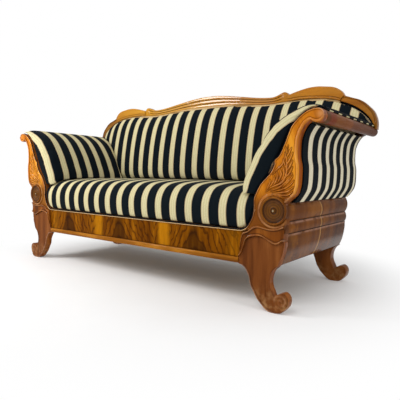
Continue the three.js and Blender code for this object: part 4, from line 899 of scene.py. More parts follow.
def facing_relief(x, z, d_left, d_right):
    """Bead along the outer edge and round the scroll, a fine lip along the inner edge, a hollow under the
    leaf, as a bell of 34 by 85 mm, the leaf itself, and a crescent round the left and the foot of the
    rosette."""
    above = z > 440 * MM
    outer = bead(d_right, 0.3 * MM, 12 * MM, 4.8 * MM) * above
    inner = bead(d_left, 0.2 * MM, 5 * MM, 2.6 * MM)
    leaf, cut = ribs(x, z, LEAF_RIBS)
    bell = ((x - LEAF_BED_X) / (34 * MM)) ** 2 + ((z - LEAF_BED_Z) / (85 * MM)) ** 2
    hollow = 2.4 * MM * np.exp(-bell) * np.clip((d_right - 12 * MM) / (5 * MM), 0, 1)
    ring = np.hypot(x - ROSETTE_X, z - ROSETTE_Z)
    turn = np.arctan2(z - ROSETTE_Z, x - ROSETTE_X)
    swell = np.clip(np.cos(turn + math.radians(150)) * 0.5 + 0.6, 0, 1)
    crescent = bead(ring, 58 * MM, 15 * MM, 5.5 * MM) * swell * (d_right > 2 * MM)
    lift = np.maximum(np.maximum(outer, inner), np.maximum(1.7 * leaf, crescent)) - hollow - 1 * MM * cut
    # Groove marks darken the quirks, the ribs' feet and the lines round the ring and the crescent: dirt and
    # painted shade.
    outer_quirk = 0.8 * line_mark(d_right, 13.2 * MM, 1.6 * MM) * above
    inner_quirk = 0.6 * line_mark(d_left, 6 * MM, 1.2 * MM)
    near_ring = line_mark(ring, 57.5 * MM, 1.4 * MM)
    round_crescent = 0.7 * swell * line_mark(ring, 74 * MM, 1.6 * MM)
    groove = np.maximum.reduce([cut, outer_quirk, inner_quirk, near_ring, round_crescent])
    # Rim marks lighten the outer bead, the inner lip, the ribs' tops and the crescent as wear and painted
    # highlight, and the scroll's end as painted highlight.
    rim = np.maximum.reduce([
        0.7 * line_mark(d_right, 5 * MM, 3 * MM) * above,
        line_mark(d_left, 1.6 * MM, 1.8 * MM),
        0.75 * np.clip(leaf / (3 * MM), 0, 1) ** 2,
        0.8 * line_mark(np.hypot(x - SCROLL_X, z - SCROLL_Z), 0, 14 * MM),
        0.8 * swell * line_mark(ring, 65 * MM, 4 * MM)])
    return lift, groove, rim


print("relief of the facing ready")

# %% [markdown]
# ### Legs and arches
# A leg has a bead down its inner edge, a fine one down the outer edge above the scroll, and a spiral on
# its foot: a ridge whose distance from the middle grows with the turn. The arch moulding is two beads
# with a cove between.

# %% Relief of legs and arches
FOOT_X, FOOT_Z = 878 * MM, 50 * MM  # middle of the foot's spiral
FOOT_PITCH = 19 * MM  # from one winding to the next


def leg_relief(x, z, d_left, d_right):
    """Beads along the edges, and a spiral of cos(2 pi (r / FOOT_PITCH - turn)) on the foot, with the turn
    from 0 to 1 round its middle."""
    low = z < 176 * MM
    inner = bead(d_left, 0.2 * MM, 7 * MM, 3 * MM) * low
    radius = np.hypot(x - FOOT_X, z - FOOT_Z)
    turn = np.arctan2(z - FOOT_Z, x - FOOT_X)
    wind = np.cos(2 * np.pi * (radius / FOOT_PITCH - turn / (2 * np.pi)))
    on_scroll = np.clip((36 * MM - radius) / (8 * MM), 0, 1) * (x > 842 * MM)
    spiral = 1.5 * MM * (0.5 + 0.5 * wind) * on_scroll
    outer = bead(d_right, 0.2 * MM, 5 * MM, 1.6 * MM) * (z > 92 * MM) * (z < 240 * MM)
    valley = 0.5 * np.clip(-wind, 0, 1) ** 12 * on_scroll
    # Groove marks: the quirk beside the inner bead and the spiral's valley are darkened, dirt and painted
    # shade.
    groove = np.maximum(0.8 * line_mark(d_left, 8 * MM, 1.5 * MM) * low, valley)
    # Rim marks: the pale line along the inner bead is painted highlight with wear, and the spiral's ridges
    # and the sole are wear.
    rim = np.maximum.reduce([
        0.9 * line_mark(d_left, 3 * MM, 2.4 * MM) * low,
        0.35 * np.clip(wind, 0, 1) ** 2 * on_scroll,
        line_mark(z, 0, 6 * MM)])
    return np.maximum(np.maximum(inner, outer), spiral), groove, rim


def arch_relief(x, z, d_left, d_right):
    """Two beads, one along each edge, with a cove between them."""
    both = d_left + d_right
    size = np.minimum(9 * MM, both * 0.3)
    upper = bead(d_right, 0.3 * MM, size, 3.8 * MM)
    lower = bead(d_left, 0.3 * MM, size * 1.2, 3.4 * MM)
    cove = 3 * MM * np.sin(np.pi * np.clip(d_left / np.maximum(both, 1e-6), 0, 1)) ** 2
    upper_quirk = line_mark(d_right, size + 1 * MM, 1.6 * MM)
    lower_quirk = line_mark(d_left, 1.2 * size + 1 * MM, 1.6 * MM)
    # Groove marks darken the quirks: dirt and painted shade.
    groove = 0.9 * np.maximum(upper_quirk, lower_quirk)
    # Rim marks lighten the middle of each bead: painted highlight, with wear.
    upper_rim = 0.8 * line_mark(d_right, size / 2, 1.8 * MM)
    lower_rim = 0.6 * line_mark(d_left, 0.6 * size, 2 * MM)
    return np.maximum(upper, lower) - cove, groove, np.maximum(upper_rim, lower_rim)


print("reliefs of leg and arch ready")

# %% [markdown]
# ### Facings, legs and arch mouldings
# With lines and reliefs at hand, each of these is one call per end. Faces that lie more than 6 mm behind
# the front belong to the board's sawn sides and get the sides' wood.

# %% Facings, legs and arch mouldings
ARCH_FRONT = BOARD_FRONT - 5 * MM  # the arch moulding stands proud
SIDE_DEPTH = BOARD_FRONT + 6 * MM
for side, word in ENDS:
    lines = stations(FACING_STATIONS, 16)
    piece = board(f"facing_{word}", side, *lines, BOARD_FRONT, BOARD_REAR, facing_relief, 76)
    fit(piece, FACING, "walnut_gold", f"arm_facing_{word}", edge=(FACING_EDGE, SIDE_DEPTH))
    lines = stations(LEG_STATIONS)
    piece = board(f"leg_front_{word}", side, *lines, BOARD_FRONT, BOARD_REAR, leg_relief, 56)
    fit(piece, LEG, "walnut_dark", f"front_leg_{word}", edge=(LEG_EDGE, SIDE_DEPTH))
    lines = stations(ARCH_STATIONS)
    piece = board(f"arch_{word}", side, *lines, ARCH_FRONT, BOARD_REAR, arch_relief, 44)
    fit(piece, ARCH, "walnut_gold", f"arch_moulding_{word}", edge=(FACING_EDGE, SIDE_DEPTH))

# %% [markdown]
# ### Rear legs and posts
# The rear legs have the front legs' outline, but above the side panel they step in and end flat, because
# the post stands on them. The posts repeat the facing's outline without its foot, and they stay plain.

# %% Rear legs and posts
REAR_LEG_FRONT = BOARD_FRONT + 666 * MM
REAR_LEG_TOP = [
    (680.3, 250, 680.4, 299), (680.3, 215, 760, 299), (680.3, 190, 845.6, 299),
    (680.3, 177, 845.7, 250), (697, 171, 845.7, 215), (712, 161, 845.8, 188)]
REAR_LEG_STATIONS = REAR_LEG_TOP + [(734, 123, 859, 187.6)] + LEG_STATIONS[13:]
POST_STATIONS = [
    (746, 299.5, 845.7, 299.5), (746, 330, 845.7, 330), (746, 380, 845.7, 380),
    (748, 430, 845.7, 436), (748, 445, 846, 439.6), (754, 465, 890, 444), (763, 481, 904, 458),
    (774, 504, 912, 469), (790, 523, 922, 487), (819, 553, 928, 513), (836, 585, 929, 556),
    (837, 603, 928, 584), (851, 616, 923, 608), (862, 631, 921, 636), (882, 676, 923, 680),
    (898, 718, 931, 707), (910, 739, 938, 721), (925, 755, 947, 735), (943, 771, 959, 746),
    (963, 781, 971, 751)]
for side, word in ENDS:
    lines = stations(REAR_LEG_STATIONS, 6)
    piece = board(f"leg_rear_{word}", side, *lines, REAR_LEG_FRONT, REAR, across=24)
    fit(piece, LEG, "walnut_dark", f"rear_leg_{word}")
    piece = board(f"post_{word}", side, *stations(POST_STATIONS, 8), POST_FRONT, REAR, across=20)
    fit(piece, POST, "walnut_dark", f"rear_post_{word}")
print("rear legs and posts made")

# %% [markdown]
# ## Turned pieces
# A lathe cuts a profile round an axis, and so does this tool: each point of a profile becomes a circle.
# Both the rosettes and the arm rolls turn about an axis that runs from front to rear.

# %% Lathe
def lathe(profile, x, z, steps=72):
    """Grid of a turned piece: each (radius, y) of the profile goes round the axis through x, z along
    Y."""
    a = np.linspace(0, 2 * np.pi, steps + 1)
    radius, y = profile[:, :1], np.tile(profile[:, 1:], (1, len(a)))
    return np.stack([x + radius * np.cos(a), y, z + radius * np.sin(a)], -1)


print("a turned circle has", lathe(np.array([[1.0, 0.0]]), 0, 0).shape[1], "points")

# %% [markdown]
# ### Rosettes
# A rosette is a turned ring, and inside it a dished disc with fine steps and a small button. The steps
# are waves with two pitches, added to the dish, and the button is a few points of its own.

# %% Rosettes
def rosette_profiles():
    """(radius, y) pairs of the ring and of the disc in mm, with y measured from the face of the board.
    The ring is half an ellipse. The disc's dish is -5.2 + 2.4 sin(pi s / 44), with s counted inwards from
    its rim."""
    a = np.linspace(0, np.pi, 15)
    ring = np.stack([52.7 - 4.4 * np.cos(a), -4 - 7 * np.sin(a)], -1)
    ring = np.vstack([[(48.3, -0.3)], ring, [(57, -0.3)], [(48.3, -0.3)]])
    r = np.linspace(48, 12, 90)
    steps = 0.9 * np.abs(np.sin(np.pi * (48 - r) / 7.2)) + 0.5 * np.cos(2 * np.pi * (48 - r) / 3.6)
    dish = -5.2 + 2.4 * np.sin(np.pi * (48 - r) / 44) - steps * 0.9
    button = [(11, -3.6), (8, -3.4), (6.2, -4.4), (5.4, -7.4), (3.6, -9.8), (1.6, -10.7), (0, -10.9)]
    disc = np.vstack([[(0, -0.3)], [(48, -0.3)], np.stack([r, dish], -1), button])
    return ring, disc


RING, DISC = rosette_profiles()
TURNED = (("ring", RING, RING_WOOD, "walnut_gold"), ("disc", DISC, ROSETTE, "walnut_dark"))
for side, word in ENDS:
    for name, profile, material, slot in TURNED:
        grid = lathe(profile * MM + np.array([0, BOARD_FRONT]), ROSETTE_X, ROSETTE_Z)
        piece = surface(f"rosette_{name}_of_{word}", mirrored(grid, side), sharp=50)
        fit(piece, material, slot, f"rosette_{name}_{word}")
print("rosettes made, points in a disc's profile", len(DISC))

# %% [markdown]
# ### Arm rolls
# The rail that ends each arm is turned too, in lengths that meet at thin seams, and it is a little
# thinner at the rear. So its radius is a straight taper less a narrow bell at each seam.

# %% Arm rolls
ROLL_X, ROLL_Z, ROLL_R = 1003 * MM, 767 * MM, 25 * MM
ROLL_SEAMS = (0.09, 0.3, 0.86)  # shares of the length
y = np.linspace(BODY_FRONT, REAR, 160)
share = (y - y[0]) / (y[-1] - y[0])
radius = ROLL_R * (1.04 - 0.14 * share)
for seam in ROLL_SEAMS:
    radius = radius - 1.1 * MM * line_mark(y - y[0], seam * (y[-1] - y[0]), 1.6 * MM)
profile = np.vstack([[(0, y[0])], np.stack([radius, y], -1), [(0, y[-1])]])
for side, word in ENDS:
    piece = surface(f"roll_{word}", mirrored(lathe(profile, ROLL_X, ROLL_Z, 48), side), sharp=50)
    fit(piece, ROLL, "walnut_dark", f"arm_roll_{word}")
print("arm rolls made, radius", round(radius[0], 4), "to", round(radius[-1], 4))

# %% [markdown]
# ## The sides
# Under the arm, three mouldings run from front to rear: a big round ovolo, a smaller torus, and the bombe
# panel that swells and then draws in to the foot. Each is one profile carried along the depth. The upper
# two also lap over the end board's side, and there their back is moved out to it.

# %% Side mouldings
BOMBE_FACE = [(858.6, 188), (871, 217), (878, 245), (882, 268), (884.2, 287), (884, 300), (884.7, 314.6)]
BOMBE = np.vstack([[(846, 188)], spline(BOMBE_FACE, 8), [(846, 315)]]) * MM
BOARD_EDGE = 883.4 * MM  # where the end board's own side lies behind the mouldings


def run(profile, depths):
    """Grid of a moulding: a profile in XZ, repeated at each of the depths."""
    return np.stack([at_depth(profile, y) for y in depths])


def swell(foot, height, bulge, count=41):
    """Closed profile of a round moulding: x = 885 + bulge (sin(pi s)^0.8 - 1/4) up the face, then
    straight down the back."""
    s = np.linspace(0, 1, count)
    face = np.stack([885 + bulge * (np.sin(np.pi * s) ** 0.8 - 0.25), foot + height * s], -1)
    return np.vstack([[(846, foot)], face, [(846, foot + height)]]) * MM


def lapped(profile):
    """Grid of a moulding whose back, as far as the end board goes, isn't further in than the board's
    side."""
    grid = run(profile, [BOARD_FRONT + 1 * MM, BODY_FRONT - 0.4 * MM, BODY_FRONT, SIDE_REAR])
    grid[:2, :, 0] = np.maximum(grid[:2, :, 0], BOARD_EDGE)
    return grid


def joint_marks(grid):
    """Darker lines in the joints above and below a moulding and where it meets the end board, dirt and
    painted shade, and a pale line on the shoulder below its top, a painted reflection of the room."""
    y, z = grid[..., 1], grid[..., 2]
    top, foot = z.max(), z.min()
    groove = np.maximum(line_mark(z, top, 2.4 * MM), line_mark(z, foot, 2.4 * MM))
    groove = np.maximum(groove, 0.5 * line_mark(y, y.min(), 3 * MM))
    return {"groove": groove, "rim": line_mark(z, top - 6 * MM, 4 * MM)}


SIDE_PIECES = (("ovolo", lapped(swell(363.6, 76, 13)), MOULDING, "walnut_dark"),
               ("torus", lapped(swell(315.3, 48, 7)), MOULDING, "walnut_dark"),
               ("bombe", run(BOMBE, np.linspace(BODY_FRONT, SIDE_REAR, 8)), SIDE, "walnut_gold"))
for side, word in ENDS:
    for name, grid, material, slot in SIDE_PIECES:
        marks = joint_marks(grid)
        piece = surface(f"{name}_of_{word}", mirrored(grid, side), loop=True, caps=True, marks=marks)
        fit(piece, material, slot, f"side_{name}_{word}")
print("sides made")

# %% [markdown]
# ## Apron and bead
# The apron is a flat veneered board, widest at its top, with a half-round bead along its foot. The bead's
# profile lies in the YZ plane and is carried along x.

# %% Apron and bead
APRON_FOOT, APRON_TOP = 680, 700  # half lengths, in mm
ACROSS = np.linspace(-1, 1, 121)


def apron_relief(x, z, d_low, d_high):
    """Flat, with its upper edge lightened as wear and painted highlight, and a dark line above the bead as
    dirt and painted shade.
    """
    return 0 * x, line_mark(d_low, 0, 2.4 * MM), 0.9 * line_mark(d_high, 0, 3 * MM)


low = np.stack([ACROSS * APRON_FOOT, np.full(len(ACROSS), 202.3)], -1) * MM
high = np.stack([ACROSS * APRON_TOP, np.full(len(ACROSS), 320)], -1) * MM
apron = board("apron", 1, low, high, BOARD_FRONT + 4 * MM, BOARD_REAR, apron_relief, 20, 1.5 * MM)
fit(apron, APRON, "walnut_gold", "front_apron")
a = np.linspace(0, np.pi, 21)
nose = np.stack([BOARD_FRONT - 5 * MM * np.sin(a), (190 + 12 * np.cos(a)) * MM], -1)
profile = np.vstack([nose, [(BOARD_REAR, 178 * MM)], [(BOARD_REAR, 202 * MM)]])
x = ACROSS * APRON_FOOT * MM
grid = np.stack([np.insert(profile, 0, place, axis=1) for place in x])
fit(surface("bead", grid, True, True), BEAD, "walnut_dark", "front_bead")
print("apron and bead made")

# %% [markdown]
# ## The crest
# The crest is one long rail in five lengths: a reeded middle with a knob at each end, two shell-shaped
# tablets and two shoulders that sweep down to the rolls. It is symmetric, so its lines are drawn for the
# right half only.

# %% Lines of the crest
CREST_FRONT = BOARD_FRONT + 680 * MM
CREST_REAR = BOARD_FRONT + 716 * MM
CREST_LOW = [
    (0, 969), (60, 970), (165, 968.5), (272, 961), (361, 953), (440, 949), (503, 952), (563, 955),
    (622, 959), (708, 955), (790, 946), (843, 931)]
CENTRE_TOP = [
    (0, 1038), (59, 1036.5), (110, 1032), (164, 1025.5), (271, 1009.5), (360, 996), (426, 990),
    (462, 990), (488, 996.5), (510, 1005.5), (530, 1009.5), (545, 1004), (555.5, 990)]
SHELL_TOP = [
    (556, 990), (587, 999), (633, 1010), (677, 1017), (724, 1018), (766, 1013), (804, 1006.5),
    (830, 996), (851, 979), (865, 957)]
SHOULDER = [
    (844, 931, 865, 957), (869, 922, 903, 943), (894, 911, 942, 929), (920, 898, 968, 912),
    (945, 882, 986, 895), (966, 865, 1002, 879), (984, 847, 1014, 863), (995, 833, 1022, 845),
    (1004, 819, 1028, 827), (1011, 805, 1031, 808), (1016, 792, 1031, 790), (1018, 783, 1030, 775)]


def height_at(table, x):
    """Height of a smooth line through the table at |x|, in metres."""
    line = spline(table, 12) * MM
    return np.interp(np.abs(x), line[:, 0], line[:, 1])


print("the crest's top is at", round(float(height_at(CENTRE_TOP, 0.0)), 3))

# %% [markdown]
# ### Reeds, pillows and rims
# The crest's reliefs follow the share of the way from the lower edge to the upper one, so that the reeds
# draw together where the rail gets lower. Cuts between them are narrow and keep dirt, and their darker
# colour is partly painted shade.

# %% Relief of the crest
KNOB_X, KNOB_Z = 531 * MM, 986 * MM


def reeds(x, z, d_low, d_high):
    """Three half-round reeds side by side, |sin(3 pi s)| of the share s, which flow together into a
    knob."""
    share = d_low / np.maximum(d_low + d_high, 1e-9)
    wave = np.abs(np.sin(3 * np.pi * share))
    cut = 1 - np.clip(wave / 0.45, 0, 1) ** 0.8
    knob = np.exp(-(((np.abs(x) - KNOB_X) / (17 * MM)) ** 2 + ((z - KNOB_Z) / (14 * MM)) ** 2))
    fade = 1 - 0.85 * np.clip((np.abs(x) - 500 * MM) / (25 * MM), 0, 1)
    quirk = line_mark(wave, 0, 0.3) * fade
    # Groove marks darken the quirks between the reeds, dirt and painted shade, and a rim mark lightens the
    # knob a little, wear and painted highlight.
    return 3.5 * MM * knob - (2 * (1 - wave) + 4 * cut) * MM * fade, 0.8 * quirk, 0.15 * knob


def pillow(x, z, d_low, d_high):
    """A soft swelling between the edges, sin(pi s)^0.6, with a cut line 13 mm above the lower edge."""
    share = np.clip(d_low / np.maximum(d_low + d_high, 1e-9), 0, 1)
    quirk = line_mark(d_low, 13 * MM, 2 * MM)
    lift = 2.8 * MM * np.sin(np.pi * share) ** 0.6 - 2.5 * MM * quirk
    # The cut line is darkened, dirt and painted shade, and a line above the lower edge is lightened, wear
    # and painted highlight.
    return lift, 0.7 * quirk, line_mark(d_low, 6 * MM, 5 * MM) * 0.3


def rimmed(x, z, d_low, d_high):
    """A dark bead along the outer edge of the shoulder, behind a quirk."""
    groove = np.maximum(line_mark(d_high, 10.5 * MM, 1.6 * MM), 0.6 * line_mark(d_high, 0, 7 * MM))
    return bead(d_high, 0.3 * MM, 9 * MM, 2.4 * MM), groove, 0 * x


print("knobs at", round(KNOB_X, 3), round(KNOB_Z, 3))

# %% [markdown]
# ### Crest pieces
# The middle's two lines are heights over the same x. The shell's upper line reaches further out than its
# lower one, so there both lines are walked along in step.

# %% Crest pieces
SHELL_FROM, SHELL_TO = 556 * MM, 843 * MM
x = np.linspace(-555.2, 555.2, 401) * MM
low = np.stack([x, height_at(CREST_LOW, x)], -1)
high = np.stack([x, height_at(CENTRE_TOP, x)], -1)
piece = board("crest_middle", 1, low, high, CREST_FRONT + 2 * MM, CREST_REAR, reeds, 64, 4 * MM)
fit(piece, CREST, "walnut_crest", "crest_centre")
t = np.linspace(0, 1, 161)
foot_x = SHELL_FROM + t * (SHELL_TO - SHELL_FROM)
low = np.stack([foot_x, height_at(CREST_LOW, foot_x)], -1)
top = spline(SHELL_TOP, 16) * MM
walk = distances(top)
high = np.stack([np.interp(t * walk[-1], walk, top[:, k]) for k in (0, 1)], -1)
for side, word in ENDS:
    piece = board(f"shell_{word}", side, low, high, CREST_FRONT - 4 * MM, CREST_REAR, pillow, 40, 6 * MM)
    fit(piece, SHELL, "walnut_crest", f"crest_shell_{word}")
    lines = stations(SHOULDER, 12)
    piece = board(f"shoulder_{word}", side, *lines, CREST_FRONT + 1 * MM, CREST_REAR, rimmed, 28, 4 * MM)
    fit(piece, SHELL, "walnut_crest", f"crest_shoulder_{word}")
print("crest made")

# %% [markdown]
# ## Stuffing
# Seat, back and arms are stuffed over a firm edge. Each starts from its closed form, a little slimmer
# than it will be, gets an even mesh by voxel remesh, and is then blown up by a short cloth simulation. A
# cap keeps any point from moving too far, so that the pads keep clear of the wood.

# %% Blowing up a pad
PRESSURE = 4.0
CLOTH_FRAMES = 20


def write_places(piece, rows):
    """Moves the piece's vertices to the given rows of x, y, z."""
    piece.data.vertices.foreach_set("co", rows.astype(np.float32).ravel())


def blow_up(piece, voxel, slim, cap, smooth):
    """Remeshes the pad, draws it in by slim, inflates it by cloth with gravity off, and limits the way of
    each point to cap. One subdivision follows."""
    bpy.context.view_layer.objects.active = piece
    for other in bpy.context.selected_objects:
        other.select_set(False)
    piece.select_set(True)
    remesh = piece.modifiers.new("even", "REMESH")
    remesh.mode, remesh.voxel_size = "VOXEL", voxel
    bpy.ops.object.modifier_apply(modifier="even")
    soften = piece.modifiers.new("soften", "SMOOTH")
    soften.iterations, soften.factor = smooth, 0.5
    bpy.ops.object.modifier_apply(modifier="soften")
    rest = places(piece)
    normals = np.zeros(len(rest) * 3, np.float32)
    piece.data.vertices.foreach_get("normal", normals)
    rest = rest - slim * normals.reshape(-1, 3)
    write_places(piece, rest)
    inflate(piece, rest, cap)
    finer = piece.modifiers.new("finer", "SUBSURF")
    finer.levels = finer.render_levels = 1
    bpy.ops.object.modifier_apply(modifier="finer")
    piece.data.update()
    piece.data.shade_smooth()
    print(piece.name, "faces", len(piece.data.polygons))
    return piece


def inflate(piece, rest, cap):
    """Runs the cloth, then puts each vertex at its rest place plus its move, shortened to cap where it is
    longer."""
    cover = piece.modifiers.new("swell", "CLOTH")
    cover.settings.use_pressure = True
    cover.settings.uniform_pressure_force = PRESSURE
    cover.settings.effector_weights.gravity = 0.0
    cover.settings.quality = 4
    cover.collision_settings.use_collision = False
    cover.point_cache.frame_start, cover.point_cache.frame_end = 1, CLOTH_FRAMES
    for number in range(1, CLOTH_FRAMES + 1):
        bpy.context.scene.frame_set(number)
    grown = piece.evaluated_get(bpy.context.evaluated_depsgraph_get())
    swollen = np.zeros(len(rest) * 3, np.float32)
    grown.data.vertices.foreach_get("co", swollen)
    move = swollen.reshape(-1, 3) - rest
    length = np.linalg.norm(move, axis=1)[:, None]
    move *= np.minimum(1, cap / np.maximum(length, 1e-9))
    piece.modifiers.clear()
    write_places(piece, rest + move)
    bpy.context.scene.frame_set(1)


print("cloth frames per pad", CLOTH_FRAMES, "pressure", PRESSURE)

# %% [markdown]
# ### The seat's form
# The seat's section rises from the apron, leans out a little, rounds over and runs back to the rear. It
# is the same all along the seat, but near the ends its top sinks a little and its foot turns up.

# %% Form of the seat
SEAT_FOOT, SEAT_RISE, SEAT_DEPTH, SEAT_HALF = 320.3 * MM, 192 * MM, 646 * MM, 747.2 * MM
SEAT_SAG = 14 * MM  # how much lower the top is at the ends
SEAT_TURN = 680 * MM  # where the foot begins to turn up
TURN_WIDTH, TURN_HEIGHT = 68 * MM, 106 * MM
SHOULDER_SHARE = 0.6  # of the rise: above it the section keeps its form, below it the turn squeezes it
SEAT_SECTION = spline([
    (0.006, 0), (-0.006, 0.1), (-0.0145, 0.28), (-0.0145, 0.46), (-0.005, 0.6), (0.016, 0.73), (0.05, 0.84),
    (0.108, 0.915), (0.217, 0.965), (0.387, 1), (0.588, 1), (0.774, 0.98), (0.929, 0.965), (1, 0.955)], 8)


def across(count, half):
    """A column of count places from -half to half, spaced by a sine so that they lie closer near the
    ends."""
    return np.sin(np.linspace(-np.pi / 2, np.pi / 2, count))[:, None] * half


def seat_grid():
    """The rise falls by SEAT_SAG (x / half)^4; the foot turns up by 1 - sqrt(1 - s^2), where s counts the
    way through the turn; and the front leans back by 7 mm (x / half)^8 at the ends."""
    x = across(121, SEAT_HALF)
    height = SEAT_RISE - SEAT_SAG * np.abs(x / SEAT_HALF) ** 4
    into = np.clip((np.abs(x) - SEAT_TURN) / TURN_WIDTH, 0, 1)
    foot = SEAT_FOOT + TURN_HEIGHT * (1 - np.sqrt(1 - into**2))
    u, v = SEAT_SECTION[None, :, 0], SEAT_SECTION[None, :, 1]
    bend = SEAT_FOOT + SHOULDER_SHARE * height
    squeezed = foot + (v / SHOULDER_SHARE) * (bend - foot)
    z = np.where(v >= SHOULDER_SHARE, SEAT_FOOT + v * height, squeezed)
    y = BOARD_FRONT + u * SEAT_DEPTH + 7 * MM * np.abs(x / SEAT_HALF) ** 8 * (1 - u)
    grid = np.stack([np.broadcast_to(x, z.shape), y, z], -1)
    under = grid[:, -1:].copy()
    under[:, 0, 2] = foot[:, 0]
    return np.concatenate([grid, under], axis=1)


def seat_top(x, y):
    """Height of the seat's top at a place behind its front."""
    share = (y - BOARD_FRONT) / SEAT_DEPTH
    height = SEAT_RISE - SEAT_SAG * np.abs(x / SEAT_HALF) ** 4
    upper = SEAT_SECTION[SEAT_SECTION[:, 1] >= SHOULDER_SHARE]
    return SEAT_FOOT + height * np.interp(share, upper[:, 0], upper[:, 1])


print("seat half length", round(SEAT_HALF, 3), "crown at", round(SEAT_FOOT + SEAT_RISE, 3))

# %% [markdown]
# ### The back's form
# The back is thickest low down and thins out under the crest and towards its ends. Its columns rise from
# the seat, or from the arm further out, to the crest's lower line, so the cloth seems to go in behind the
# wood.

# %% Form of the back
BACK_SECTION = spline([
    (0, 0.82), (0.04, 0.95), (0.12, 1), (0.28, 0.97), (0.45, 0.88), (0.6, 0.76), (0.74, 0.61),
    (0.86, 0.42), (0.94, 0.24), (1, 0)], 8)
BACK_CLIMB = np.array([(0.72, 0), (0.8, 0.36), (0.86, 0.62), (0.895, 0.84), (0.93, 0.985), (1, 1.03)])
BACK_HALF, BACK_THICK, BACK_EDGE = 1003 * MM, 112 * MM, 6 * MM
BACK_REAR = BOARD_FRONT + 675.9 * MM
BACK_FOOT_Y = BOARD_FRONT + 534 * MM  # where the back's foot meets the seat
ARM_TOP = 793 * MM
SEAM = 0.8 * MM  # clearance of the back from the seat and from the crest
SHOULDER_LOW = [(894, 911), (945, 882), (984, 847), (1004, 819), (1016, 792)]
TOP_LINE = CREST_LOW + SHOULDER_LOW  # the whole lower line of the crest


def back_face(x, z):
    """y of the back's front face: its thickness follows the section up from the seat, times a factor that
    falls to 0 at the ends as the root of 1 - (x / half)^7."""
    narrow = np.sqrt(np.clip(1 - np.abs(x / BACK_HALF) ** 7, 0, 1))
    foot = seat_top(np.zeros_like(x), np.full_like(x, BACK_FOOT_Y)) + SEAM
    top = height_at(TOP_LINE, x) - SEAM
    thick = np.interp((z - foot) / (top - foot), BACK_SECTION[:, 0], BACK_SECTION[:, 1])
    return BACK_REAR - BACK_EDGE - (BACK_THICK - BACK_EDGE) * narrow * thick


def back_grid():
    """Columns that rise from the seat, or from the arm further out, to the crest, and a flat rear."""
    x = across(161, BACK_HALF)
    seat = seat_top(x, np.full_like(x, BACK_FOOT_Y)) + SEAM
    climb = np.interp(np.abs(x) / BACK_HALF, BACK_CLIMB[:, 0], BACK_CLIMB[:, 1])
    foot = seat + climb * (ARM_TOP - seat)
    top = height_at(TOP_LINE, x) - SEAM
    z = foot + (top - foot) * np.linspace(0, 1, 61)[None, :]
    wide = np.broadcast_to(x, z.shape)
    face = np.stack([wide, back_face(wide, z), z], -1)
    rear = face[:, ::-1][:, ::12].copy()
    rear[..., 1] = BACK_REAR
    return np.concatenate([face, rear], axis=1)


print("back half length", round(BACK_HALF, 3), "thickness", round(BACK_THICK, 3))

# %% [markdown]
# ### Counting stripes
# A real cover is cut with its stripes where the upholsterer wants them, and stretching moves them a
# little. So the places where light stripes start are given one by one, and the UV map counts the stripes
# between them.

# %% Seat and back
STRIPE_PITCH = 91.9 * MM
SEAT_LIGHT = np.array([
    -711, -626, -534, -445, -356, -264, -173, -80, 13, 104, 199, 293, 386, 481, 575, 667]) * MM
BACK_LIGHT = np.array([-684, -597, -504, -410, -317, -223, -129, -32, 65, 163, 262, 358]) * MM


def stripe_count(value, starts):
    """How many stripes lie before a value: between two known starts it is read off, and beyond them it
    goes on at the common pitch."""
    count = np.interp(value, starts, np.arange(len(starts), dtype=float))
    count = count + np.minimum(0, value - starts[0]) / STRIPE_PITCH
    return count + np.maximum(0, value - starts[-1]) / STRIPE_PITCH


def write_uv(piece, values):
    """Writes values (one u, v per vertex) to the piece's UV map, corner by corner."""
    mesh = piece.data
    layer = mesh.uv_layers.get("UVMap") or mesh.uv_layers.new(name="UVMap")
    corners = np.zeros(len(mesh.loops), np.int32)
    mesh.loops.foreach_get("vertex_index", corners)
    layer.data.foreach_set("uv", values[corners].astype(np.float32).ravel())


seat = blow_up(surface("seat_cushion", seat_grid(), True, True), 9 * MM, 2.5 * MM, 4 * MM, smooth=2)
where = places(seat)
write_uv(seat, np.stack([stripe_count(where[:, 0], SEAT_LIGHT), where[:, 1]], -1))
fit(seat, STRIPED, "stripe_cloth", "seat_pad")
back = blow_up(surface("back_cushion", back_grid(), True, True), 9 * MM, 2.5 * MM, 4 * MM, smooth=2)
where = places(back)
write_uv(back, np.stack([stripe_count(where[:, 0], BACK_LIGHT), where[:, 2]], -1))
fit(back, STRIPED, "stripe_cloth", "back_pad")

# %% [markdown]
# ### Arms
# The arm's cloth comes up from the seat, over the stuffing and onto the roll. At the front it turns round
# a soft edge of 52 mm radius and runs on across the front to the facing, so its stripes are counted along
# the cloth: by depth on the long face, by arc round the edge, and by distance beyond it. Its form is the
# frame's own solid.

# %% Arm pads
ARM_EDGE_LINE = [
    (751.9, 460), (772.1, 498), (798, 533.2), (818.9, 562.2), (833.9, 596.8), (851, 630.1),
    (869.2, 668.1), (885.9, 708), (907.9, 743.1), (940, 773.1), (970, 790.2), (1006, 796.8)]
ARM_THICK = [  # share of the way up, thickness in mm
    (0, 91), (0.18, 107), (0.27, 115), (0.36, 112), (0.55, 100), (0.64, 85), (0.73, 61), (0.82, 41),
    (0.91, 29), (1, 12)]
ARM_EDGE = 52 * MM
ARM_LIGHT = np.array([-126, -26, 85, 184, 274, 368, 461, 552, 645]) * MM


def from_node(name, source):
    """A copy of a frame node's solid as a new piece, with its corners merged."""
    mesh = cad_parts[source].data.copy()
    mesh.name = name
    work = bmesh.new()
    work.from_mesh(mesh)
    bmesh.ops.remove_doubles(work, verts=work.verts, dist=1e-5)
    work.to_mesh(mesh)
    work.free()
    piece = bpy.data.objects.new(name, mesh)
    bpy.context.scene.collection.objects.link(piece)
    return piece


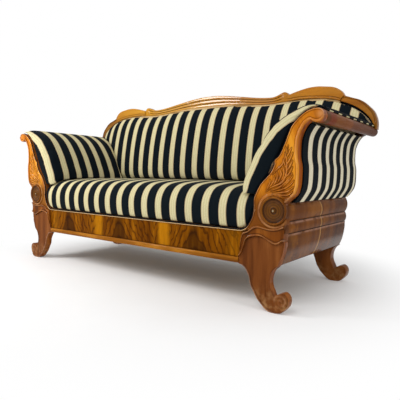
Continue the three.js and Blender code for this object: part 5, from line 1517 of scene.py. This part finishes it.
def offset(line, distance):
    """The line moved to its left by a distance, which may differ from point to point."""
    ahead = np.gradient(line, axis=0)
    ahead /= np.linalg.norm(ahead, axis=1)[:, None]
    return line + np.stack([-ahead[:, 1], ahead[:, 0]], -1) * np.reshape(distance, (-1, 1))


def arm_inner_line():
    """The stuffing's inner face in a section: the facing's edge moved inwards by 3.2 mm and the
    thickness."""
    edge = spline(np.array(ARM_EDGE_LINE) * MM, 8)
    walk = distances(edge)
    thick = np.interp(walk / walk[-1], *np.array(ARM_THICK, float).T)
    inner = offset(edge, 3.2 * MM + thick * MM)
    return np.vstack([[(inner[0, 0], 400 * MM)], inner])


def cloth_depth(where, inner):
    """How far the cloth has come from the arm's front, measured along it. On the long face that is the
    depth y. The rounded edge is a quarter circle, so there the angle counts, and beyond it the distance d
    from the inner line."""
    y = where[:, 1] - BOARD_FRONT
    gap = np.linalg.norm(where[:, None, ::2] - inner[None], axis=-1)
    d = gap.min(1)
    start = ARM_EDGE + 1 * MM
    angle = np.arctan2(np.maximum(start - y, 0), np.maximum(ARM_EDGE - d, 0))
    return np.where(y > start, y, start - ARM_EDGE * angle - np.maximum(d - ARM_EDGE, 0))


for side, word in ENDS:
    arm = blow_up(from_node(f"arm_cushion_{word}", f"arm_pad_{word}"), 6 * MM, 1.5 * MM, 3 * MM, smooth=12)
    where = mirrored(places(arm), side)
    count = stripe_count(cloth_depth(where, arm_inner_line()), ARM_LIGHT)
    write_uv(arm, np.stack([count, where[:, 2]], -1))
    fit(arm, STRIPED, "stripe_cloth", f"arm_pad_{word}")

# %% [markdown]
# ### Outer covers
# Outside, the arm is closed by a thin pad of the same cloth, stretched from the roll down to the ovolo.
# Its section is a smooth line with a second one 8 mm inside it, and it draws in a little towards the
# rear.

# %% Outer covers
COVER_LINE = [
    (967.5, 740.5), (959, 731), (945.6, 707.5), (938.6, 680), (936.2, 636), (937.9, 607.7),
    (942, 584.5), (943, 556), (941, 513), (934, 483), (910.5, 445), (904, 440)]
COVER_THICK = 8 * MM
COVER_DRAW = 9 * MM  # how much further in the cover lies at its rear
OUTER_LIGHT = BOARD_FRONT + np.array([-12, 86, 186, 280, 370, 460, 551, 655]) * MM
line = spline(COVER_LINE, 8) * MM
y = np.linspace(BODY_FRONT, POST_FRONT - GAP, 60)
grid = run(np.vstack([line, offset(line, -COVER_THICK)[::-1]]), y)
grid[..., 0] -= COVER_DRAW * ((grid[..., 1] - y[0]) / (y[-1] - y[0]))
for side, word in ENDS:
    piece = surface(f"outer_cover_{word}", mirrored(grid, side), True, True)
    where = places(piece)
    write_uv(piece, np.stack([stripe_count(where[:, 1], OUTER_LIGHT), where[:, 2]], -1))
    # The outer covers have the lighter copy of the cream: painted light.
    fit(piece, STRIPED_LIT, "stripe_cloth", f"arm_outer_cover_{word}")
print("covers made")

# %% [markdown]
# ## Tacked cloth
# Under the stuffing lie canvas and hessian, and a plain cloth closes the rear. They are drawn tight and
# tacked, so they are flat grids with a little thickness and need no simulation. The rear cloth and the
# canvas are cut to the back's outline: the crest's lower line, the posts' inner line, and a level foot.

# %% Outline of the back
POST_LINE = [
    (746, 299), (747, 387), (748, 445), (754, 465), (774, 504), (819, 553), (836, 585), (862, 631),
    (882, 676), (898, 718), (910, 739), (943, 771), (1000, 789), (1012, 788), (1022, 782)]
SHEET_HALF = 1018 * MM


def post_height(x):
    """Height at which the posts' inner line, and at the end the roll's top, passes |x|."""
    line = np.array(POST_LINE) * MM
    return np.interp(np.abs(x), line[:, 0], line[:, 1])


def back_sheet(foot, depth, margin, tuck):
    """Grid of a flat cloth behind the back: each column rises from the foot level, or from the posts'
    line further out, to tuck above the crest's lower line, which is below it where tuck is negative."""
    x = across(161, SHEET_HALF - margin)
    low = np.maximum(foot, post_height(np.abs(x) + margin))
    top = np.maximum(height_at(TOP_LINE, x) + tuck, low + 1 * MM)
    z = low + (top - low) * np.linspace(0, 1, 60)[None, :]
    return np.stack([np.broadcast_to(x, z.shape), np.full_like(z, depth), z], -1)


print("the posts' line at x = 0.8 has the height", round(float(post_height(0.8)), 3))

# %% [markdown]
# ### Rear cloth, canvas and hessian
# Each sheet gets a little thickness, and where it isn't a rectangle its area is printed.

# %% Sheets
SHEET_THICK = 1.2 * MM


def stretched(piece, thickness):
    shell = piece.modifiers.new("thickness", "SOLIDIFY")
    shell.thickness, shell.offset = thickness, 0.0


def area_of(grid):
    """Area of a grid's faces: half the cross products of their diagonals."""
    a, b = grid[1:, 1:] - grid[:-1, :-1], grid[1:, :-1] - grid[:-1, 1:]
    return float(np.linalg.norm(np.cross(a, b), axis=-1).sum() / 2)


rear_grid = back_sheet(300 * MM, BOARD_FRONT + 701.5 * MM, 0.5 * MM, 3 * MM)
rear = fit(surface("rear_cloth", rear_grid), PLAIN, "navy_cloth", "back_outer_cover")
stretched(rear, SHEET_THICK)
canvas_grid = back_sheet(441 * MM, BOARD_FRONT + 678.2 * MM, 12 * MM, -12 * MM)
canvas = fit(surface("back_canvas_cloth", canvas_grid), CANVAS, "jute", "back_canvas")
stretched(canvas, SHEET_THICK)
x, y = np.meshgrid(np.linspace(-828, 828, 60) * MM, np.linspace(-305, 297, 30) * MM, indexing="ij")
hessian_grid = np.stack([x, y, np.full_like(x, 317.3 * MM)], -1)
hessian = fit(surface("hessian_cloth", hessian_grid), JUTE, "jute", "seat_hessian")
stretched(hessian, SHEET_THICK)
print("rear cloth", round(area_of(rear_grid), 3), "canvas", round(area_of(canvas_grid), 3), "square metres")

# %% [markdown]
# ### Canvas of the arms
# The arms' canvas runs from the arm rail up to the roll, behind the stuffing. Its flat length is that of
# its line.

# %% Canvas of the arms
ARM_LINE = [
    (752.4, 402), (752.4, 456), (773, 497), (799, 532), (820, 561), (835, 596), (852, 629),
    (871, 667), (887, 707), (909, 742), (940, 771), (970, 788), (1003, 794)]
line = spline(ARM_LINE, 6) * MM
grid = run(line, np.linspace(BODY_FRONT, POST_FRONT - 1 * MM, 24))
for side, word in ENDS:
    piece = surface(f"arm_canvas_cloth_{word}", mirrored(grid, side))
    fit(piece, CANVAS, "jute", f"arm_canvas_{word}")
    stretched(piece, SHEET_THICK)

# %% [markdown]
# ### Webbing
# Strips of jute carry the springs. Three run along the seat and nine across it, over and under one
# another: the height of a strip is a cosine whose sign changes from one crossing to the next.

# %% Webbing
WEB_Z, WEB_LIFT = 200.2 * MM, 0.8 * MM
WEB_XS, WEB_YS = np.linspace(-804, 804, 9) * MM, np.linspace(-280, 272, 3) * MM
WEB_HALF = 25 * MM
WEB_THICK = 0.8 * MM


def webbing():
    """Middle line and half width, as a vector, of each strip. With i the strip's number and s the way
    along it in crossings, the height is WEB_Z plus or minus WEB_LIFT cos(pi (i + s))."""
    strips = []
    for row, y in enumerate(WEB_YS):
        x = np.linspace(-829, 829, 140) * MM
        z = WEB_Z + WEB_LIFT * np.cos(np.pi * ((x - WEB_XS[0]) / (WEB_XS[1] - WEB_XS[0]) + row))
        strips.append((np.stack([x, np.full_like(x, y), z], -1), np.array([0, WEB_HALF, 0])))
    for column, x in enumerate(WEB_XS):
        y = np.linspace(-305, 297, 60) * MM
        z = WEB_Z - WEB_LIFT * np.cos(np.pi * (column + (y - WEB_YS[0]) / (WEB_YS[1] - WEB_YS[0])))
        strips.append((np.stack([np.full_like(y, x), y, z], -1), np.array([WEB_HALF, 0, 0])))
    return strips


strips = webbing()
for number, (path, half) in enumerate(strips):
    strip = surface(f"web_strip_{number:02d}", path[:, None] + half * np.linspace(-1, 1, 5)[None, :, None])
    fit(strip, JUTE, "jute", "seat_webbing")
    stretched(strip, WEB_THICK)
print("webbing strips", len(strips))

# %% [markdown]
# ## Round cords and wire
# Springs, twine and pipings are all round and follow a path. A circle is set across the path at each of
# its points, on two directions that stand square to it. Turning each circle a little further gives a laid
# cord its twist.

# %% Tube
def tube(path, radius, sides=8, twist=0.0):
    """Grid of a round cord: at each point of the path a circle across its direction, turned by twist
    times the point's number."""
    path = np.asarray(path, float)
    along = np.gradient(path, axis=0)
    along /= np.linalg.norm(along, axis=1)[:, None]
    up = np.array([0.0, 0.0, 1.0]) if abs(along[:, 2]).max() < 0.9 else np.array([0.0, 1.0, 0.0])
    across = np.cross(along, up)
    across /= np.linalg.norm(across, axis=1)[:, None]
    over = np.cross(across, along)
    a = np.linspace(0, 2 * np.pi, sides, endpoint=False)[None, :] + twist * np.arange(len(path))[:, None]
    ring = across[:, None] * np.cos(a)[..., None] + over[:, None] * np.sin(a)[..., None]
    return path[:, None] + radius * ring


print("a tube of 2 points has", tube([(0, 0, 0), (1, 0, 0)], 0.1).shape[:2], "places")

# %% [markdown]
# ### Spring wire
# The springs are of coppered steel: metal whose colour and polish change in soft patches.

# %% Spring wire
STEEL, tree, shader = new_material("spring_wire")
cloud = clouds(tree, node(tree, "TexCoord").outputs["Object"], 70.0, 4.0)
copper = ramp(tree, cloud, [(0.35, (0.3, 0.14, 0.07)), (0.65, (0.52, 0.3, 0.18))])
tree.links.new(copper, shader.inputs["Base Color"])
rough = maths(tree, "ADD", 0.25, times(tree, cloud, 0.3))
tree.links.new(rough, shader.inputs["Roughness"])
shader.inputs["Metallic"].default_value = 1.0
print("wire", STEEL.name)

# %% [markdown]
# ### Springs
# Hourglass springs stand on the webbing in two rows of six. Each is a helix of three turns whose radius
# is COIL - COIL_WAIST sin(pi t), with t from 0 at the foot to 1 at the top.

# %% Springs
SPRING_ROWS = (-126.5 * MM, 123.5 * MM)
SPRING_PLACES = [(column - 2.5) * 250 * MM for column in range(6)]
SPRING_FOOT, SPRING_HEIGHT = 204.9 * MM, 106 * MM
COIL, COIL_WAIST, COIL_TURNS = 52, 18, 3  # the first two in mm
WIRE = 2.3 * MM
t = np.linspace(0, 1, 73)
coil_radius = (COIL - COIL_WAIST * np.sin(np.pi * t)) * MM
a = 2 * np.pi * COIL_TURNS * t
coil = np.stack([coil_radius * np.cos(a), coil_radius * np.sin(a), SPRING_FOOT + SPRING_HEIGHT * t], -1)
for row, y in enumerate(SPRING_ROWS):
    for column, x in enumerate(SPRING_PLACES):
        piece = surface(f"spring_{row}_{column}", tube(coil + np.array([x, y, 0]), WIRE), True, True)
        fit(piece, STEEL, "spring_steel", "seat_springs")
print("springs made")

# %% [markdown]
# ### Twine
# The springs' upper ends are lashed with twine, once along each row and once across each pair. A run goes
# straight from rail to rail, and a five-sided tube with a twist looks like laid cord.

# %% Twine
TWINE, TWINE_Z = 2 * MM, 313.3 * MM
low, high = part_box("seat_springs")
runs = [((low[0], y), (high[0], y)) for y in SPRING_ROWS]
runs += [((x + COIL * MM, low[1]), (x + COIL * MM, high[1])) for x in SPRING_PLACES]  # over the coils' ends
for number, (start, end) in enumerate(runs):
    path = np.linspace((*start, TWINE_Z), (*end, TWINE_Z), 240)
    piece = surface(f"twine_{number}", tube(path, TWINE, 5, 0.5), True, True, sharp=60)
    fit(piece, JUTE, "jute", "seat_springs")
    print(piece.name, "length", round(math.dist(start, end), 3))

# %% [markdown]
# ## Trim
# A black piping follows the inner edge of each facing and the foot of the seat, where it turns up round
# both ends, with a fine golden gimp under it. On each roll lies a black welt, put there as painted shade
# along the stuffing's slope above the roll, and beside it a piping of the arm's own cloth.

# %% Piping and gimp
def trim(name, path, side, radius, material, *nodes):
    """A round cord along a path, for one side."""
    piece = surface(name, mirrored(tube(path, radius), side), loop=True, caps=True)
    return fit(piece, material, "navy_cloth", *nodes)


def seat_foot(away, depth):
    """Path along the seat's foot and up its rounded ends, moved outwards by away, at a depth. Each end is
    80 degrees of an ellipse with the half axes TURN_WIDTH and TURN_HEIGHT."""
    a = np.linspace(0, math.radians(80), 40)
    end_x = SEAT_TURN + (TURN_WIDTH + away) * np.sin(a)
    end = np.stack([end_x, SEAT_FOOT + TURN_HEIGHT - (TURN_HEIGHT + away) * np.cos(a)], -1)
    x = np.linspace(-678, 678, 200) * MM
    middle = np.stack([x, np.full_like(x, end[0, 1])], -1)
    return at_depth(np.vstack([(end * (-1, 1))[::-1], middle, end]), depth)


FACING_EDGE_LINE = spline(np.array(FACING_STATIONS, float)[2:21, :2] * MM, 8)  # from its foot to the scroll
for side, word in ENDS:
    path = at_depth(offset(FACING_EDGE_LINE, 1.8 * MM), BOARD_FRONT + 3 * MM)
    trim(f"facing_piping_{word}", path, side, 2.6 * MM, PIPING)
trim("seat_piping", seat_foot(1.2 * MM, BOARD_FRONT + 1.4 * MM), 1, 3 * MM, PIPING, "seat_gimp")
trim("seat_gimp_cord", seat_foot(5.8 * MM, BOARD_FRONT + 0.6 * MM), 1, 1.6 * MM, GIMP)
print("pipings made")

# %% [markdown]
# ### Welts of the rolls
# Both cords of a roll are straight and run from the facing to the post. The striped one is cut from the
# arm's cloth and sewn on with its stripes in line, so it counts them by depth in the same way.

# %% Welts of the rolls
WELT_END = BOARD_FRONT + 672 * MM
y = np.linspace(BODY_FRONT + 24 * MM, WELT_END, 300)


def along_roll(right, up):
    """Path along the roll, moved to the right of its axis and up from its top."""
    return np.stack([np.full_like(y, ROLL_X + right), y, np.full_like(y, ROLL_Z + ROLL_R + up)], -1)


for side, word in ENDS:
    # The black welt is painted shade: a dark cord where the stuffing's slope above the roll lies in shade.
    trim(f"roll_shade_welt_{word}", along_roll(4 * MM, 8 * MM), side, 7 * MM, PIPING)
    striped = trim(f"roll_piping_{word}", along_roll(12 * MM, 1 * MM), side, 3 * MM, STRIPED)
    depth = places(striped)[:, 1] - BOARD_FRONT
    write_uv(striped, np.stack([stripe_count(depth, ARM_LIGHT), depth], -1))
print("trim made")

# %% [markdown]
# ## Frame pieces that stay
# Rails, blocks and slats are right as they are. They only get a wood: bare softwood, or the dark rail's
# walnut.

# %% Kept pieces
kept = {name: piece for name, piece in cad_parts.items() if not piece.hide_render}
for name, piece in kept.items():
    piece.data.materials.clear()
    piece.data.materials.append(RAIL if name == "back_bottom_rail" else PINE)
print("kept nodes", sorted(kept))

# %% [markdown]
# ## Camera, floor and light
# The camera stands where the photographer stood: to the right of the settee, at half its height, with a
# slight tilt. The photographer's lens axis didn't pass exactly through the picture's middle, which the
# shifts make good.

# %% Camera
PICTURE = 400  # pixels across
FOCAL_LENGTH, SHIFT_X, SHIFT_Y = 418.01, 0.63, -1.66  # in pixels
CAMERA_PLACE = (1.6053, -1.825, 0.5469)
YAW, PITCH, ROLL_ANGLE = (math.radians(a) for a in (37.678, -3.346, 0.817))
ahead = np.array([-math.sin(YAW) * math.cos(PITCH), math.cos(YAW) * math.cos(PITCH), math.sin(PITCH)])
level = np.array([math.cos(YAW), math.sin(YAW), 0.0])
upright = np.cross(level, ahead)
right = math.cos(ROLL_ANGLE) * level + math.sin(ROLL_ANGLE) * upright
up = -math.sin(ROLL_ANGLE) * level + math.cos(ROLL_ANGLE) * upright
camera_data = bpy.data.cameras.new("camera")
camera = bpy.data.objects.new("camera", camera_data)
bpy.context.scene.collection.objects.link(camera)
turn = Matrix([[right[i], up[i], -ahead[i]] for i in range(3)]).to_4x4()
camera.matrix_world = Matrix.Translation(CAMERA_PLACE) @ turn
camera_data.sensor_fit = "HORIZONTAL"
camera_data.sensor_width = 36.0
camera_data.lens = 36.0 * FOCAL_LENGTH / PICTURE
camera_data.shift_x, camera_data.shift_y = SHIFT_X / PICTURE, SHIFT_Y / PICTURE
camera_data.clip_start = 0.05
bpy.context.scene.camera = camera
print("camera at", tuple(round(v, 3) for v in camera.location))

# %% [markdown]
# ### Floor
# The settee stands on white that has no horizon. The floor is real near the settee, so that it takes a
# shadow, and further off it turns into plain white, but only for the camera and for reflections. For the
# light it stays a floor.

# %% Floor
FLOOR_NEAR, FLOOR_FAR = 0.7, 1.5  # radii between which the floor fades into plain white
FLOOR_Z = -0.0004


def seen_directly(tree):
    """1 for what the camera sees itself, in a reflection or through glass."""
    path = node(tree, "LightPath")
    indirect = maths(tree, "MAXIMUM", path.outputs["Is Glossy Ray"], path.outputs["Is Transmission Ray"])
    return maths(tree, "MAXIMUM", path.outputs["Is Camera Ray"], indirect)


def floor_material():
    """White with a faint unevenness, and plain white light beyond FLOOR_FAR."""
    material, tree, shader = new_material("floor_pale")
    place = node(tree, "TexCoord").outputs["Object"]
    colour = ramp(tree, clouds(tree, place, 3.0), [(0.3, (0.96, 0.96, 0.96)), (0.7, (0.98, 0.98, 0.98))])
    tree.links.new(colour, shader.inputs["Base Color"])
    shader.inputs["Roughness"].default_value = 0.9
    shader.inputs["Specular IOR Level"].default_value = 0.1
    away = node(tree, "VectorMath", {0: place}, operation="LENGTH").outputs["Value"]
    far = times(tree, smoothstep(tree, FLOOR_NEAR, FLOOR_FAR, away), seen_directly(tree))
    plain = node(tree, "Emission", {"Color": (1, 1, 1, 1), "Strength": 1.0})
    blend = node(tree, "MixShader", {0: far, 1: shader.outputs[0], 2: plain.outputs[0]})
    tree.links.new(blend.outputs[0], tree.nodes["Material Output"].inputs["Surface"])
    return material


a = np.linspace(-6, 6, 25)
x, y = np.meshgrid(a, a, indexing="ij")
floor = surface("floor", np.stack([x, y, np.full_like(x, FLOOR_Z)], -1))
floor.data.materials.append(floor_material())
floor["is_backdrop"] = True
print("floor", floor.name)

# %% [markdown]
# ### Room and lamps
# The camera sees a white room, but as a light the room counts half, so that shadows stay. A large soft
# lamp above the front is the main light, an upright strip at the left draws highlights along the crest's
# reeds, and a small lamp lifts the right side.

# %% Room and lamps
ROOM_LIGHT = 0.5  # of white, from all round
world = bpy.data.worlds.new("room")
bpy.context.scene.world = world
world.use_nodes = True
tree = world.node_tree
strength = maths(tree, "ADD", ROOM_LIGHT, times(tree, seen_directly(tree), 1 - ROOM_LIGHT))
background = tree.nodes["Background"]
background.inputs["Color"].default_value = (1, 1, 1, 1)
tree.links.new(strength, background.inputs["Strength"])


def lamp(name, place, aim, width, height, power):
    """A soft lamp of a width and a height in metres and a power in watts, turned towards a point."""
    data = bpy.data.lights.new(name, "AREA")
    data.shape = "RECTANGLE"
    data.size, data.size_y, data.energy = width, height, power
    made = bpy.data.objects.new(name, data)
    bpy.context.scene.collection.objects.link(made)
    way = Vector(aim) - Vector(place)
    made.rotation_euler = way.to_track_quat("-Z", "Y").to_euler()
    made.location = place


lamp("key", (0.4, -2.6, 3.4), (0, 0, 0.5), 2.4, 1.6, 43)
lamp("strip", (-1.35, -1.65, 1.6), (0.1, 0.28, 1.0), 0.54, 1.3, 29)
lamp("side", (3.4, -0.8, 2.0), (0.8, 0, 0.5), 1.2, 1.2, 15)
bpy.context.scene.view_settings.view_transform = "Standard"

# %% Sizes and finish
low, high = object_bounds()
print("visual box", np.round(low, 3), np.round(high, 3))
